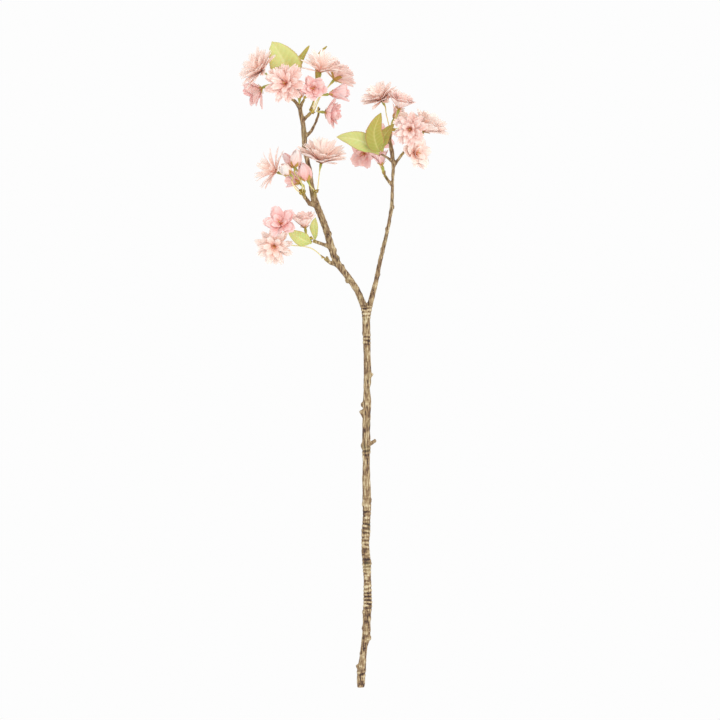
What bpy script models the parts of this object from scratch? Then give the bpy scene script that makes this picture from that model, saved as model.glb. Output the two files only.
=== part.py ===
"""Cut sprig of double cherry blossom, lying down as it would be laid on a table.

Frame: metres, +Z up.  The woody stem runs along Y with its cut end at -Y and the
blossoms at +Y, and the table is at Z = 0.  Lengths and places in the lists below are
in millimetres: x across the sprig, y along it, z above the table.
"""
import math
from collections import namedtuple

import bmesh
import bpy
from mathutils import Matrix, Vector

MM = 0.001

# Driving dimensions, in millimetres
BUTT_Y = -365.5          # cut end of the stem
TIP_Y = 330.0            # level of the topmost twigs
BUTT_LIFT = 5.0          # height of the stem's centreline at the cut end
TIP_LIFT = 48.0          # height of the branch among the topmost blossoms
PATH_STEP = 10.0         # spacing of the rings along the woody tubes
STALK_STEP = 7.0         # spacing of the rings along stalks and leaves
GAP = 0.4                # clearance between neighbouring pieces
PETAL_WALL = 1.0         # thickness of the corolla's wall
STALK_RADIUS = 0.7       # flower stalk
CALYX_RADIUS = 2.3       # green cup under the petals
CALYX_LENGTH = 7.0
SOCKET_SPREAD = 2.0      # how far stalks stand off the centre of a shared tip
SHORT_STALK = 9.0        # a stalk no longer than this runs straight to its calyx
SOCKET_LENGTH = 2.5      # how far a stalk keeps the way that its twig points
NECK_LENGTH = 3.0        # how far behind its calyx a stalk already points with it
BUD_TIP_RADIUS = 0.6
BUD_RINGS = 6
LEAF_THICKNESS = 0.8
PETIOLE_WIDTH = 1.4
CUP_SEGMENTS = 20
CUP_RINGS = 6
LOBES = 5
BELLY = 0.18             # how much wider the corolla starts than it ends, as a share
NOTCH = 0.14             # depth of the notches in the corolla's rim, as a share
KNOT_STRETCH = 1.5       # knots are longer along the stem than across it
KNOT_SEGMENTS = 8
KNOT_RINGS = 4
LEAF_COLUMNS = 4
SHARP_ANGLE = 50.0       # edges that turn more than this, in degrees, stay sharp
STEM_ROUNDNESS = 3       # bevel resolution of the tubes: stem, limbs, stalks and buds
LIMB_ROUNDNESS = 2
STALK_ROUNDNESS = 1
BUD_ROUNDNESS = 2
# Radius of the green cup at shares of its length
CALYX_SWELLING = ((0.0, 1.1), (0.3, 1.7), (0.7, 2.0), (1.0, CALYX_RADIUS))
BUD_SWELLING = ((0.0, 1.1), (0.4, 1.8), (0.9, CALYX_RADIUS))

# Woody tubes that follow the even rise of the sprig: (x, y, radius)
STEM = [
    (22.0, -365.5, 4.1), (22.0, -361.0, 4.6), (22.5, -347.0, 5.3), (24.0, -333.0, 4.1),
    (25.5, -320.0, 4.0), (28.0, -307.0, 4.8), (28.5, -292.0, 4.5), (29.5, -271.0, 5.1),
    (29.5, -252.0, 4.6), (29.0, -238.0, 4.5), (28.5, -224.0, 5.2), (27.0, -206.0, 4.6),
    (27.5, -190.0, 5.0), (28.5, -170.0, 4.7), (28.5, -150.0, 5.0), (28.0, -130.0, 4.6),
    (28.0, -109.0, 4.2), (28.0, -95.0, 4.9), (28.0, -70.0, 4.6), (29.0, -41.0, 4.8),
    (28.5, -28.0, 3.8), (29.5, -14.0, 4.5), (29.0, 6.0, 4.1), (28.5, 27.0, 4.5),
    (28.0, 50.0, 4.7), (28.0, 60.5, 5.2),
]
LEFT_ARM = [
    (28.0, 56.0, 4.4), (23.0, 73.0, 3.9), (17.5, 85.5, 3.8), (9.5, 97.5, 3.8),
    (1.5, 107.5, 3.9), (-4.5, 115.0, 4.3), (-8.5, 124.0, 4.0), (-11.5, 134.0, 4.2),
    (-14.5, 144.0, 4.0), (-17.5, 154.0, 4.0), (-21.5, 165.0, 3.9), (-26.5, 177.0, 4.0),
    (-30.5, 187.0, 4.2), (-33.5, 200.5, 3.3), (-36.0, 218.5, 3.0), (-39.0, 233.5, 2.8),
    (-42.0, 243.5, 2.8), (-42.0, 257.0, 3.2), (-43.5, 273.0, 2.8), (-46.5, 287.5, 2.6),
    (-47.6, 292.5, 2.7),
]
RIGHT_ARM = [
    (28.5, 56.0, 4.3), (31.5, 67.0, 3.6), (34.5, 77.5, 3.3), (39.5, 97.5, 2.9),
    (43.5, 117.5, 2.7), (47.5, 134.0, 2.4), (51.5, 151.0, 2.3), (55.0, 169.0, 2.2),
    (57.0, 182.5, 2.4), (57.5, 198.5, 1.9), (58.0, 214.0, 1.9), (58.5, 229.0, 2.4),
    (56.5, 243.5, 2.7), (54.5, 255.0, 1.9), (55.8, 265.0, 1.9),
]

# Twigs, spurs and stubs: (x, y, height above the sprig's own rise, radius)
TWIGS = {
    "top_left": [(-47.0, 290.0, 0.0, 2.4), (-51.5, 297.5, 1.0, 2.1), (-58.0, 303.0, 3.0, 2.2)],
    "top_right": [(-47.0, 290.0, 0.0, 2.2), (-44.5, 296.5, 0.5, 1.8), (-42.0, 301.0, 2.0, 1.6)],
    "top_bud": [(-47.0, 288.0, 0.0, 2.2), (-47.5, 292.5, 3.5, 1.8), (-47.6, 294.5, 6.0, 1.6)],
    "crown": [(-43.5, 276.5, 0.0, 2.2), (-39.0, 281.5, 1.0, 2.0), (-34.5, 285.5, 2.0, 2.2)],
    "elbow": [(-41.5, 258.0, 0.0, 2.4), (-34.5, 264.5, -2.0, 1.9), (-29.5, 274.0, -4.0, 1.6),
              (-26.5, 282.5, -6.0, 1.5), (-25.5, 288.0, -6.0, 1.5)],
    "middle_left": [(-29.5, 181.5, 0.0, 3.4), (-36.0, 183.0, 2.0, 2.8), (-40.5, 189.0, 5.0, 2.3),
                    (-43.5, 194.5, 8.0, 2.4)],
    "middle_front": [(-31.5, 186.0, 0.0, 2.6), (-30.5, 191.0, 4.0, 2.1), (-29.5, 196.0, 8.0, 2.0)],
    "middle_strand": [(-20.0, 162.0, 2.0, 1.8), (-23.5, 173.5, 4.0, 2.0), (-27.0, 184.0, 3.0, 1.7)],
    "lower_front": [(-13.5, 134.0, 0.0, 2.6), (-22.0, 137.5, 2.0, 2.1), (-32.5, 141.0, 4.0, 2.2)],
    "lower_back": [(-5.0, 114.0, 0.0, 2.8), (-12.5, 116.0, -1.0, 2.3), (-19.5, 121.0, 0.0, 1.8)],
    "lower_nub": [(-14.0, 117.0, 0.0, 1.8), (-17.0, 123.5, 3.0, 1.3)],
    "right_spur": [(58.5, 224.5, 0.0, 2.2), (62.5, 230.5, 1.0, 1.9), (67.5, 237.5, 3.0, 1.8),
                   (70.0, 240.5, 4.0, 1.6)],
    "right_low": [(57.5, 203.0, 0.0, 2.2), (53.5, 208.0, -1.0, 1.8), (48.5, 215.5, -2.0, 1.9)],
    "leaf_shoot": [(57.0, 231.0, 0.0, 2.0), (51.5, 235.0, 6.0, 1.6), (45.0, 238.5, 12.0, 1.3)],
    "right_back": [(54.5, 251.5, 0.0, 1.7), (53.0, 252.0, -4.5, 1.4)],
    "fork_stub": [(28.0, 58.0, 2.0, 2.6), (27.4, 66.0, 4.0, 1.8), (27.0, 72.0, 5.0, 1.1)],
    "upper_stub": [(29.5, -16.0, 0.0, 2.6), (32.5, -12.5, 1.0, 2.0), (35.5, -9.0, 1.0, 1.3)],
    "broken_spur": [(28.0, -62.0, 0.0, 3.6), (25.0, -56.0, 1.0, 3.0), (21.5, -51.0, 2.0, 2.4)],
    "right_stub": [(29.0, -90.0, 0.0, 3.2), (34.0, -88.0, 1.0, 2.4), (39.0, -84.5, 2.0, 2.1)],
    "butt_stub": [(22.5, -347.5, 0.0, 3.4), (20.0, -343.0, 1.0, 2.8), (17.5, -339.5, 1.0, 2.2)],
}

# Knots on the bark: (x, y, height above the sprig's own rise, radius)
KNOTS = [
    (25.4, 36.5, 0.0, 2.7), (23.9, -44.5, 0.0, 2.4), (24.5, -91.0, 0.0, 3.0),
    (25.4, -157.0, 0.5, 2.7), (32.0, -152.5, 0.0, 2.7), (24.7, -188.0, 0.0, 2.7),
    (27.5, -208.5, 3.0, 2.6), (31.4, -224.0, 0.0, 3.0), (31.2, -309.0, 0.0, 2.7),
    (26.0, -280.0, 0.0, 3.0), (25.4, -298.0, 0.0, 2.8), (22.6, -327.0, 0.0, 2.6),
    (58.5, 179.0, 0.0, 1.9), (50.8, 154.5, 0.0, 1.9), (45.6, 131.5, 0.0, 1.9),
    (42.2, 103.0, 0.0, 2.1), (-13.0, 149.0, 0.0, 2.5), (-7.5, 130.0, 0.0, 2.6),
    (-4.0, 121.0, 0.0, 2.6), (1.5, 111.0, 0.0, 2.8), (6.5, 96.5, 0.0, 2.8),
]

# Blossoms.  base: where the petals meet the calyx; facing: the way the flower looks;
# spread: how far the petals open from that axis, in degrees; twig: the one whose tip
# bears the stalk; side: the side of a shared tip that the stalk leaves, or None for a
# stalk that has the tip to itself; via: points that the stalk passes.
# A base whose height is None belongs to a blossom that rests on the table.
Blossom = namedtuple("Blossom", "name base facing length spread twig side via")
BLOSSOMS = [
    Blossom("crown_blossom_1", (-89.5, 332.0, 62.0), (-0.75, 0.5, 0.4), 27.0, 60.0,
            "top_left", (-0.2, 1.0, 0.1), [(-74.0, 319.0, 52.0)]),
    Blossom("crown_blossom_2", (-90.0, 314.5, None), (-0.85, -0.42, -0.2), 23.5, 50.0,
            "top_left", (0.0, -0.6, -1.0), [(-74.0, 313.0, 38.0)]),
    Blossom("crown_blossom_3", (-62.0, 317.5, 66.0), (-0.3, 0.1, 0.93), 25.0, 62.0,
            "top_left", (0.3, 0.0, 1.0), []),
    Blossom("crown_blossom_4", (-32.0, 312.5, 60.0), (0.0, 0.0, 1.0), 17.0, 60.0,
            "top_right", None, []),
    Blossom("crown_blossom_5", (-24.0, 331.0, 50.0), (0.1, 0.85, 0.25), 28.0, 52.0,
            "crown", (-0.6, 0.8, -0.2), [(-27.0, 312.0, 45.0)]),
    Blossom("crown_blossom_6", (-8.5, 323.0, 33.0), (0.6, 0.7, -0.35), 25.0, 52.0,
            "crown", (0.4, -0.6, -1.0), [(-24.0, 304.0, 40.0)]),
    Blossom("crown_blossom_7", (-14.0, 306.0, 62.0), (0.95, 0.15, 0.1), 23.5, 26.0,
            "crown", (0.0, 0.0, 1.0), [(-28.0, 299.0, 55.0)]),
    Blossom("crown_blossom_8", (-19.0, 286.0, 50.0), (0.95, -0.08, 0.1), 21.5, 54.0,
            "elbow", None, []),
    Blossom("middle_blossom_1", (-73.5, 219.0, 34.0), (-0.85, 0.35, 0.1), 27.5, 56.0,
            "middle_left", (-0.6, -0.3, -1.0), [(-49.0, 200.0, 37.0), (-59.0, 209.5, 32.0)]),
    Blossom("middle_blossom_2", (-47.0, 205.5, 51.0), (-0.75, 0.45, -0.5), 18.0, 34.0,
            "middle_left", (1.0, 0.3, 0.3), []),
    Blossom("middle_blossom_3", (-23.0, 228.5, 60.0), (0.15, 0.8, 0.3), 31.0, 56.0,
            "middle_front", (1.0, 0.0, 0.0), []),
    Blossom("lower_blossom_1", (-68.5, 159.5, 58.0), (-0.2, 0.3, 0.9), 21.0, 58.0,
            "lower_front", (-0.4, -0.5, -1.0), [(-50.0, 150.0, 41.0)]),
    Blossom("lower_blossom_2", (-41.0, 155.0, 46.0), (-0.15, 0.95, 0.2), 21.0, 42.0,
            "lower_front", (0.0, 1.0, 0.3), []),
    Blossom("lower_blossom_3", (-75.5, 135.5, 38.0), (-0.1, -0.2, 0.95), 22.5, 64.0,
            "lower_back", None, [(-34.0, 133.0, 30.0), (-56.0, 136.0, 27.0)]),
    Blossom("right_blossom_1", (46.0, 299.0, 50.0), (-0.4, 0.75, 0.5), 24.0, 56.0,
            "right_arm", (-1.0, 0.0, 0.2), [(50.0, 286.0, 46.0)]),
    Blossom("right_blossom_2", (64.5, 288.5, 72.0), (0.3, 0.9, 0.3), 22.0, 44.0,
            "right_arm", (-0.1, 0.0, 1.0), [(58.5, 276.0, 60.0)]),
    Blossom("right_blossom_3", (78.0, 267.0, 69.0), (-0.15, -0.15, 0.96), 21.0, 60.0,
            "right_arm", (1.0, 0.0, 0.7), [(71.0, 267.0, 54.0)]),
    Blossom("right_blossom_4", (92.5, 264.0, 43.0), (0.5, 0.84, 0.2), 28.0, 52.0,
            "right_arm", (1.0, 0.0, -0.6), [(76.0, 259.0, 40.0)]),
    Blossom("right_blossom_5", (82.5, 240.0, 44.0), (0.6, 0.05, 0.75), 21.0, 60.0,
            "right_spur", None, []),
    Blossom("right_blossom_6", (26.5, 240.5, 17.0), (-0.35, -0.15, 0.85), 18.5, 60.0,
            "right_low", (0.0, 0.0, -1.0), [(43.0, 228.0, 22.0), (36.0, 238.0, 12.0)]),
    Blossom("right_blossom_7", (46.0, 226.0, 39.0), (-0.25, 0.9, 0.1), 18.5, 32.0,
            "right_low", (0.3, 0.2, 1.0), []),
    Blossom("right_blossom_8", (44.0, 257.0, None), (-0.1, 0.1, -1.0), 21.0, 48.0,
            "right_back", None, []),
]

# Buds still closed or just opening; radius is the half-width of the closed petals.
Bud = namedtuple("Bud", "name base facing length radius twig side via")
BUDS = [
    Bud("crown_bud_1", (-47.5, 303.5, 56.0), (0.0, 0.95, 0.3), 10.5, 5.0, "top_bud", None, []),
    Bud("middle_bud_1", (-54.5, 225.5, 55.0), (-0.6, 0.75, 0.15), 18.0, 5.2,
        "middle_left", (0.3, 0.6, -1.0), [(-44.5, 206.0, 45.0), (-49.0, 216.0, 48.0)]),
    Bud("middle_bud_2", (-52.0, 226.0, 70.0), (0.12, 0.99, 0.2), 18.0, 6.8,
        "middle_left", (0.3, -0.4, 1.0), [(-44.0, 204.0, 64.0), (-50.0, 214.0, 67.0)]),
    Bud("middle_bud_3", (-60.0, 217.5, 71.0), (-0.6, 0.55, 0.45), 14.0, 6.8,
        "middle_left", (-1.0, -0.6, 0.7), [(-51.0, 198.0, 63.0), (-57.0, 209.0, 67.0)]),
    Bud("middle_bud_4", (-38.5, 210.5, 69.0), (-0.35, 0.9, 0.2), 19.0, 8.0,
        "middle_front", (-1.0, 0.0, 0.3), []),
    Bud("right_bud_1", (61.0, 279.5, 40.0), (0.6, 0.7, -0.1), 14.0, 6.0, "right_arm", (-0.1, 0.0, -1.0), []),
]

# Leaves.  path: from the twig along the petiole and the midrib to the tip; blade_from is
# the share of the path that the petiole takes; up: the way the leaf's upper face looks;
# fold: how far the halves rise on each side of the midrib, in degrees.
Leaf = namedtuple("Leaf", "name path blade_from half_width up fold")
LEAVES = [
    Leaf("crown_leaf_1", [(-60.5, 305.5, 46.0), (-58.0, 314.0, 50.0), (-57.5, 325.0, 54.0),
                          (-66.5, 345.0, 58.0), (-78.5, 365.5, 56.0)],
         0.28, 14.0, (0.1, 0.1, 1.0), 10.0),
    Leaf("crown_leaf_2", [(-57.0, 306.5, 44.0), (-54.5, 318.0, 40.0), (-53.5, 328.0, 38.0),
                          (-47.0, 344.0, 34.0), (-36.5, 362.0, 30.0)],
         0.32, 5.0, (-0.5, 0.3, 1.0), 24.0),
    Leaf("crown_leaf_3", [(-36.5, 288.5, 42.0), (-31.0, 302.0, 28.0), (-27.0, 330.0, 20.0),
                          (-25.5, 352.0, 22.0), (-16.5, 361.5, 27.0)],
         0.45, 3.4, (0.2, -0.2, 1.0), 24.0),
    Leaf("lower_leaf_1", [(-30.0, 142.5, 43.0), (-30.0, 148.0, 47.0), (-31.0, 156.0, 49.5),
                          (-29.3, 167.0, 51.0)], 0.16, 5.0, (-0.2, 0.0, 1.0), 14.0),
    Leaf("lower_leaf_2", [(-34.0, 138.0, 44.0), (-38.0, 139.5, 50.0), (-48.0, 144.5, 55.0),
                          (-61.0, 152.5, 52.5)], 0.14, 8.4, (0.1, -0.2, 1.0), 10.0),
    Leaf("right_leaf_1", [(42.2, 238.6, 57.0), (37.0, 242.5, 62.0), (26.0, 251.5, 68.0),
                          (9.0, 256.5, 67.0), (-5.5, 257.5, 62.0)],
         0.1, 10.8, (-0.1, -0.1, 1.0), 10.0),
    Leaf("right_leaf_2", [(43.6, 241.6, 60.0), (39.5, 247.0, 69.0), (36.5, 264.0, 74.0),
                          (44.6, 284.5, 76.0)],
         0.1, 10.4, (0.1, -0.1, 1.0), 12.0),
    Leaf("right_leaf_3", [(46.2, 241.2, 56.0), (45.2, 248.0, 59.5), (48.5, 260.0, 63.0),
                          (59.5, 272.5, 61.0)],
         0.12, 7.0, (0.2, 0.1, 1.0), 12.0),
]


def clear_scene():
    """Remove whatever the file held before."""
    for item in list(bpy.data.objects):
        bpy.data.objects.remove(item, do_unlink=True)


def new_collection(name):
    """Make a collection in the scene."""
    made = bpy.data.collections.new(name)
    bpy.context.scene.collection.children.link(made)
    return made


def make_material(name, colour, roughness):
    """Make a plain Principled material."""
    made = bpy.data.materials.new(name)
    made.use_nodes = True
    shader = made.node_tree.nodes["Principled BSDF"]
    shader.inputs["Base Color"].default_value = (*colour, 1.0)
    shader.inputs["Roughness"].default_value = roughness
    shader.inputs["Metallic"].default_value = 0.0
    return made


def add_object(name, mesh, collection, finish):
    """Put a mesh in the scene as a named part, smooth but for its sharp edges."""
    mesh.name = name
    mesh.materials.clear()
    mesh.materials.append(finish)
    mesh.shade_smooth()
    mesh.set_sharp_from_angle(angle=math.radians(SHARP_ANGLE))
    made = bpy.data.objects.new(name, mesh)
    collection.objects.link(made)
    return made


def rise(y):
    """Height of the sprig's own line above the table at y."""
    share = (y - BUTT_Y) / (TIP_Y - BUTT_Y)
    return BUTT_LIFT + share * (TIP_LIFT - BUTT_LIFT)


def lay(points):
    """Give (x, y, radius) points the sprig's own rise."""
    return [(x, y, rise(y), radius) for x, y, radius in points]


def lay_twig(points):
    """Give (x, y, height, radius) points the sprig's own rise."""
    return [(x, y, rise(y) + height, radius) for x, y, height, radius in points]


def catmull_rom(before, start, end, after, share):
    """Point on the smooth curve from start to end, in as many dimensions as given."""
    square = share * share
    cube = square * share
    return tuple(
        0.5 * (2.0 * b + (c - a) * share + (2.0 * a - 5.0 * b + 4.0 * c - d) * square
               + (3.0 * b - a - 3.0 * c + d) * cube)
        for a, b, c, d in zip(before, start, end, after))


def smooth_path(points, step):
    """Points about one step apart on a smooth curve through the given ones."""
    ends = [points[0]] + list(points) + [points[-1]]
    path = []
    for index in range(1, len(ends) - 2):
        start = ends[index]
        end = ends[index + 1]
        length = (Vector(end[:3]) - Vector(start[:3])).length
        pieces = max(1, round(length / step))
        for piece in range(pieces):
            path.append(catmull_rom(ends[index - 1], start, end, ends[index + 2], piece / pieces))
    path.append(points[-1])
    return path


def tube_mesh(points, resolution):
    """Closed tube through (x, y, z, radius) points."""
    curve = bpy.data.curves.new("tube", "CURVE")
    curve.dimensions = "3D"
    curve.bevel_depth = MM
    curve.bevel_resolution = resolution
    curve.use_fill_caps = True
    spline = curve.splines.new("POLY")
    spline.points.add(len(points) - 1)
    for place, (x, y, z, radius) in zip(spline.points, points):
        place.co = (x * MM, y * MM, z * MM, 1.0)
        place.radius = radius
    holder = bpy.data.objects.new("tube", curve)
    bpy.context.scene.collection.objects.link(holder)
    evaluated = holder.evaluated_get(bpy.context.evaluated_depsgraph_get())
    mesh = bpy.data.meshes.new_from_object(evaluated)
    bpy.data.objects.remove(holder, do_unlink=True)
    weld(mesh)
    return mesh


def weld(mesh):
    """Join the loose caps of a tube to its wall."""
    shape = bmesh.new()
    shape.from_mesh(mesh)
    bmesh.ops.remove_doubles(shape, verts=shape.verts, dist=0.00001)
    bmesh.ops.recalc_face_normals(shape, faces=shape.faces)
    shape.to_mesh(mesh)
    shape.free()


def knot_mesh(x, y, height, radius):
    """Rounded swelling of the bark, longer along the stem."""
    shape = bmesh.new()
    stretch = Matrix.Diagonal((radius * MM, radius * KNOT_STRETCH * MM, radius * MM, 1.0))
    place = Matrix.Translation((x * MM, y * MM, (rise(y) + height) * MM))
    bmesh.ops.create_uvsphere(shape, u_segments=KNOT_SEGMENTS, v_segments=KNOT_RINGS,
                              radius=1.0, matrix=place @ stretch)
    mesh = bpy.data.meshes.new("knot")
    shape.to_mesh(mesh)
    shape.free()
    return mesh


def build_branch(parts, limbs, bark):
    """Grow stem, arms, twigs, stubs and knots into one woody body."""
    stem = add_object("woody_branch", tube_mesh(smooth_path(lay(STEM), PATH_STEP), STEM_ROUNDNESS),
                      parts, bark)
    paths = [lay(LEFT_ARM), lay(RIGHT_ARM)] + [lay_twig(points) for points in TWIGS.values()]
    for path in paths:
        add_object("limb", tube_mesh(smooth_path(path, PATH_STEP), LIMB_ROUNDNESS), limbs, bark)
    for x, y, height, radius in KNOTS:
        add_object("knot", knot_mesh(x, y, height, radius), limbs, bark)
    union = stem.modifiers.new("grown_together", "BOOLEAN")
    union.operation = "UNION"
    union.operand_type = "COLLECTION"
    union.collection = limbs
    union.solver = "EXACT"
    grown = evaluated_mesh(stem)
    stem.modifiers.clear()
    stem.data = grown
    for limb in list(limbs.objects):
        bpy.data.objects.remove(limb, do_unlink=True)
    return grown


def facing_frame(direction):
    """Rotation that turns +Z to the given direction."""
    return Vector(direction).to_track_quat("Z", "Y").to_matrix()


def corolla_mesh(blossom):
    """Lobed, thin-walled cup of petals: a ball pushed in from above.

    The lower half of the ball becomes the outer wall and the upper half the inner one,
    with the ball's equator as the rim.  The base is at the mesh's origin.
    """
    shape = bmesh.new()
    bmesh.ops.create_uvsphere(shape, u_segments=CUP_SEGMENTS, v_segments=CUP_RINGS, radius=1.0)
    for vertex in shape.verts:
        latitude = math.asin(max(-1.0, min(1.0, vertex.co.z)))
        around = math.atan2(vertex.co.y, vertex.co.x)
        along = 1.0 - abs(latitude) / (math.pi / 2.0)
        lobe = 1.0 - NOTCH * along * (0.5 - 0.5 * math.cos(LOBES * around))
        reach = blossom.length * along * lobe
        open_angle = math.radians(blossom.spread) * (1.0 + BELLY * (1.0 - along))
        radial = reach * math.sin(open_angle)
        axial = reach * math.cos(open_angle)
        if latitude > 0.001:
            radial = max(0.0, radial - PETAL_WALL * math.cos(open_angle))
            axial += PETAL_WALL * math.sin(open_angle) if along > 0.01 else PETAL_WALL
        vertex.co = (radial * math.cos(around) * MM, radial * math.sin(around) * MM, axial * MM)
    shape.transform(facing_frame(blossom.facing).to_4x4())
    mesh = bpy.data.meshes.new(blossom.name)
    shape.to_mesh(mesh)
    shape.free()
    return mesh


def lowest(mesh):
    """Lowest height in a mesh, in millimetres."""
    return min(vertex.co.z for vertex in mesh.vertices) / MM


def socket_point(twig, side):
    """Where a stalk starts on its twig's tip, and the way the twig points."""
    if twig == "right_arm":
        path = lay(RIGHT_ARM)
    else:
        path = lay_twig(TWIGS[twig])
    tip = Vector(path[-1][:3])
    pointing = (tip - Vector(path[-2][:3])).normalized()
    if side:
        offset = Vector(side)
        offset -= pointing * offset.dot(pointing)
        tip += offset.normalized() * SOCKET_SPREAD
    return tip + pointing * 2.0 * GAP, pointing


def stalk_points(flower, base):
    """Stalk's centreline from its twig to the bottom of the green cup."""
    start, pointing = socket_point(flower.twig, flower.side)
    axis = Vector(flower.facing).normalized()
    neck = base - axis * CALYX_LENGTH
    if (neck - start).length < SHORT_STALK:
        return [(*start, STALK_RADIUS)], neck, axis
    stations = [start, start + pointing * SOCKET_LENGTH, *flower.via, neck - axis * NECK_LENGTH]
    points = [(*place, STALK_RADIUS) for place in stations]
    return smooth_path(points, STALK_STEP), neck, axis


def calyx_mesh(blossom, base):
    """Thin stalk that swells into the green cup under the petals."""
    path, neck, axis = stalk_points(blossom, base)
    for share, radius in CALYX_SWELLING:
        place = neck + axis * share * (CALYX_LENGTH - GAP)
        path.append((*place, radius))
    return tube_mesh(path, STALK_ROUNDNESS)


def bud_mesh(bud):
    """Stalk, green cup and closed petals of a bud in one turned form."""
    base = Vector(bud.base)
    path, neck, axis = stalk_points(bud, base)
    for share, radius in BUD_SWELLING:
        path.append((*(neck + axis * share * CALYX_LENGTH), radius))
    for ring in range(1, BUD_RINGS + 1):
        share = ring / BUD_RINGS
        swell = math.sin(math.pi * share ** 0.85)
        radius = max(BUD_TIP_RADIUS, bud.radius * swell ** 0.7 if swell > 0.0 else 0.0)
        path.append((*(base + axis * share * bud.length), radius))
    return tube_mesh(path, BUD_ROUNDNESS)


def blade_width(leaf, share):
    """Half-width of a leaf at a share of its path."""
    if share <= leaf.blade_from:
        return PETIOLE_WIDTH / 2.0
    along = (share - leaf.blade_from) / (1.0 - leaf.blade_from)
    ovate = math.sin(math.pi * along ** 0.72) ** 0.85 if along < 1.0 else 0.0
    return max(PETIOLE_WIDTH / 2.0 * (1.0 - 0.5 * along), leaf.half_width * ovate)


def leaf_mesh(leaf):
    """Ovate blade on its petiole, folded a little along the midrib."""
    path = [Vector(point) for point in smooth_path(leaf.path, STALK_STEP)]
    rows = len(path) - 1
    shape = bmesh.new()
    bmesh.ops.create_grid(shape, x_segments=LEAF_COLUMNS, y_segments=rows, size=1.0)
    up = Vector(leaf.up).normalized()
    for vertex in shape.verts:
        row = round((vertex.co.y + 1.0) / 2.0 * rows)
        across = vertex.co.x
        tangent = (path[min(rows, row + 1)] - path[max(0, row - 1)]).normalized()
        side = tangent.cross(up).normalized()
        normal = side.cross(tangent).normalized()
        half = blade_width(leaf, row / rows)
        lift = abs(across) * half * math.tan(math.radians(leaf.fold))
        vertex.co = (path[row] + side * across * half + normal * lift) * MM
    bmesh.ops.recalc_face_normals(shape, faces=shape.faces)
    mesh = bpy.data.meshes.new(leaf.name)
    shape.to_mesh(mesh)
    shape.free()
    return mesh


def build_blossoms(parts, table, petal, green):
    """Make each blossom's corolla, and its calyx with the stalk."""
    for blossom in BLOSSOMS:
        petals = corolla_mesh(blossom)
        x, y, z = blossom.base
        if z is None:
            z = table - lowest(petals)
        petals.transform(Matrix.Translation((x * MM, y * MM, z * MM)))
        add_object(blossom.name + "_petals", petals, parts, petal)
        calyx = calyx_mesh(blossom, Vector((x, y, z)))
        add_object(blossom.name + "_calyx", calyx, parts, green)


def build_buds(parts, petal):
    """Make the closed buds, each with its stalk."""
    for bud in BUDS:
        add_object(bud.name, bud_mesh(bud), parts, petal)


def build_leaves(parts, leaf_green):
    """Make the leaves as thin shells."""
    for leaf in LEAVES:
        made = add_object(leaf.name, leaf_mesh(leaf), parts, leaf_green)
        shell = made.modifiers.new("thickness", "SOLIDIFY")
        shell.thickness = LEAF_THICKNESS * MM
        shell.offset = 0.0


def evaluated_mesh(item):
    """Mesh of an object after its modifiers, in world space."""
    evaluated = item.evaluated_get(bpy.context.evaluated_depsgraph_get())
    mesh = bpy.data.meshes.new_from_object(evaluated)
    mesh.transform(item.matrix_world)
    return mesh


def rest_on_table(parts):
    """Move the whole sprig so that the origin is under the middle of its box."""
    bpy.context.view_layer.update()
    corners = []
    for item in parts.objects:
        mesh = evaluated_mesh(item)
        corners += [vertex.co.copy() for vertex in mesh.vertices]
        bpy.data.meshes.remove(mesh)
    low = [min(corner[axis] for corner in corners) for axis in range(3)]
    high = [max(corner[axis] for corner in corners) for axis in range(3)]
    shift = Vector((-(low[0] + high[0]) / 2.0, -(low[1] + high[1]) / 2.0, -low[2]))
    for item in parts.objects:
        item.location = shift


def main():
    """Build the sprig."""
    clear_scene()
    parts = new_collection("cherry_blossom_sprig")
    limbs = new_collection("branch_limbs")
    bark = make_material("bark", (0.38, 0.29, 0.19), 0.8)
    petal = make_material("petal", (0.90, 0.62, 0.58), 0.6)
    green = make_material("calyx", (0.42, 0.42, 0.10), 0.6)
    leaf_green = make_material("leaf", (0.50, 0.53, 0.13), 0.5)
    table = lowest(build_branch(parts, limbs, bark))
    build_blossoms(parts, table, petal, green)
    build_buds(parts, petal)
    build_leaves(parts, leaf_green)
    rest_on_table(parts)


main()
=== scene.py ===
"""Looks of a cut sprig of double cherry blossom that lies on a pale table.

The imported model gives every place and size.  Each flower's base, axis and reach are read
from its CAD cup, each bud's and leaf's line from its CAD solid, and the branch's bark is
raised on a copy of its CAD solid.  Lengths are metres.
"""
import logging
import math
from collections.abc import Callable
from dataclasses import dataclass, field
from enum import Enum

import bmesh
import bpy
import numpy as np
from mathutils import Matrix, Vector, kdtree, noise


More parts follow.
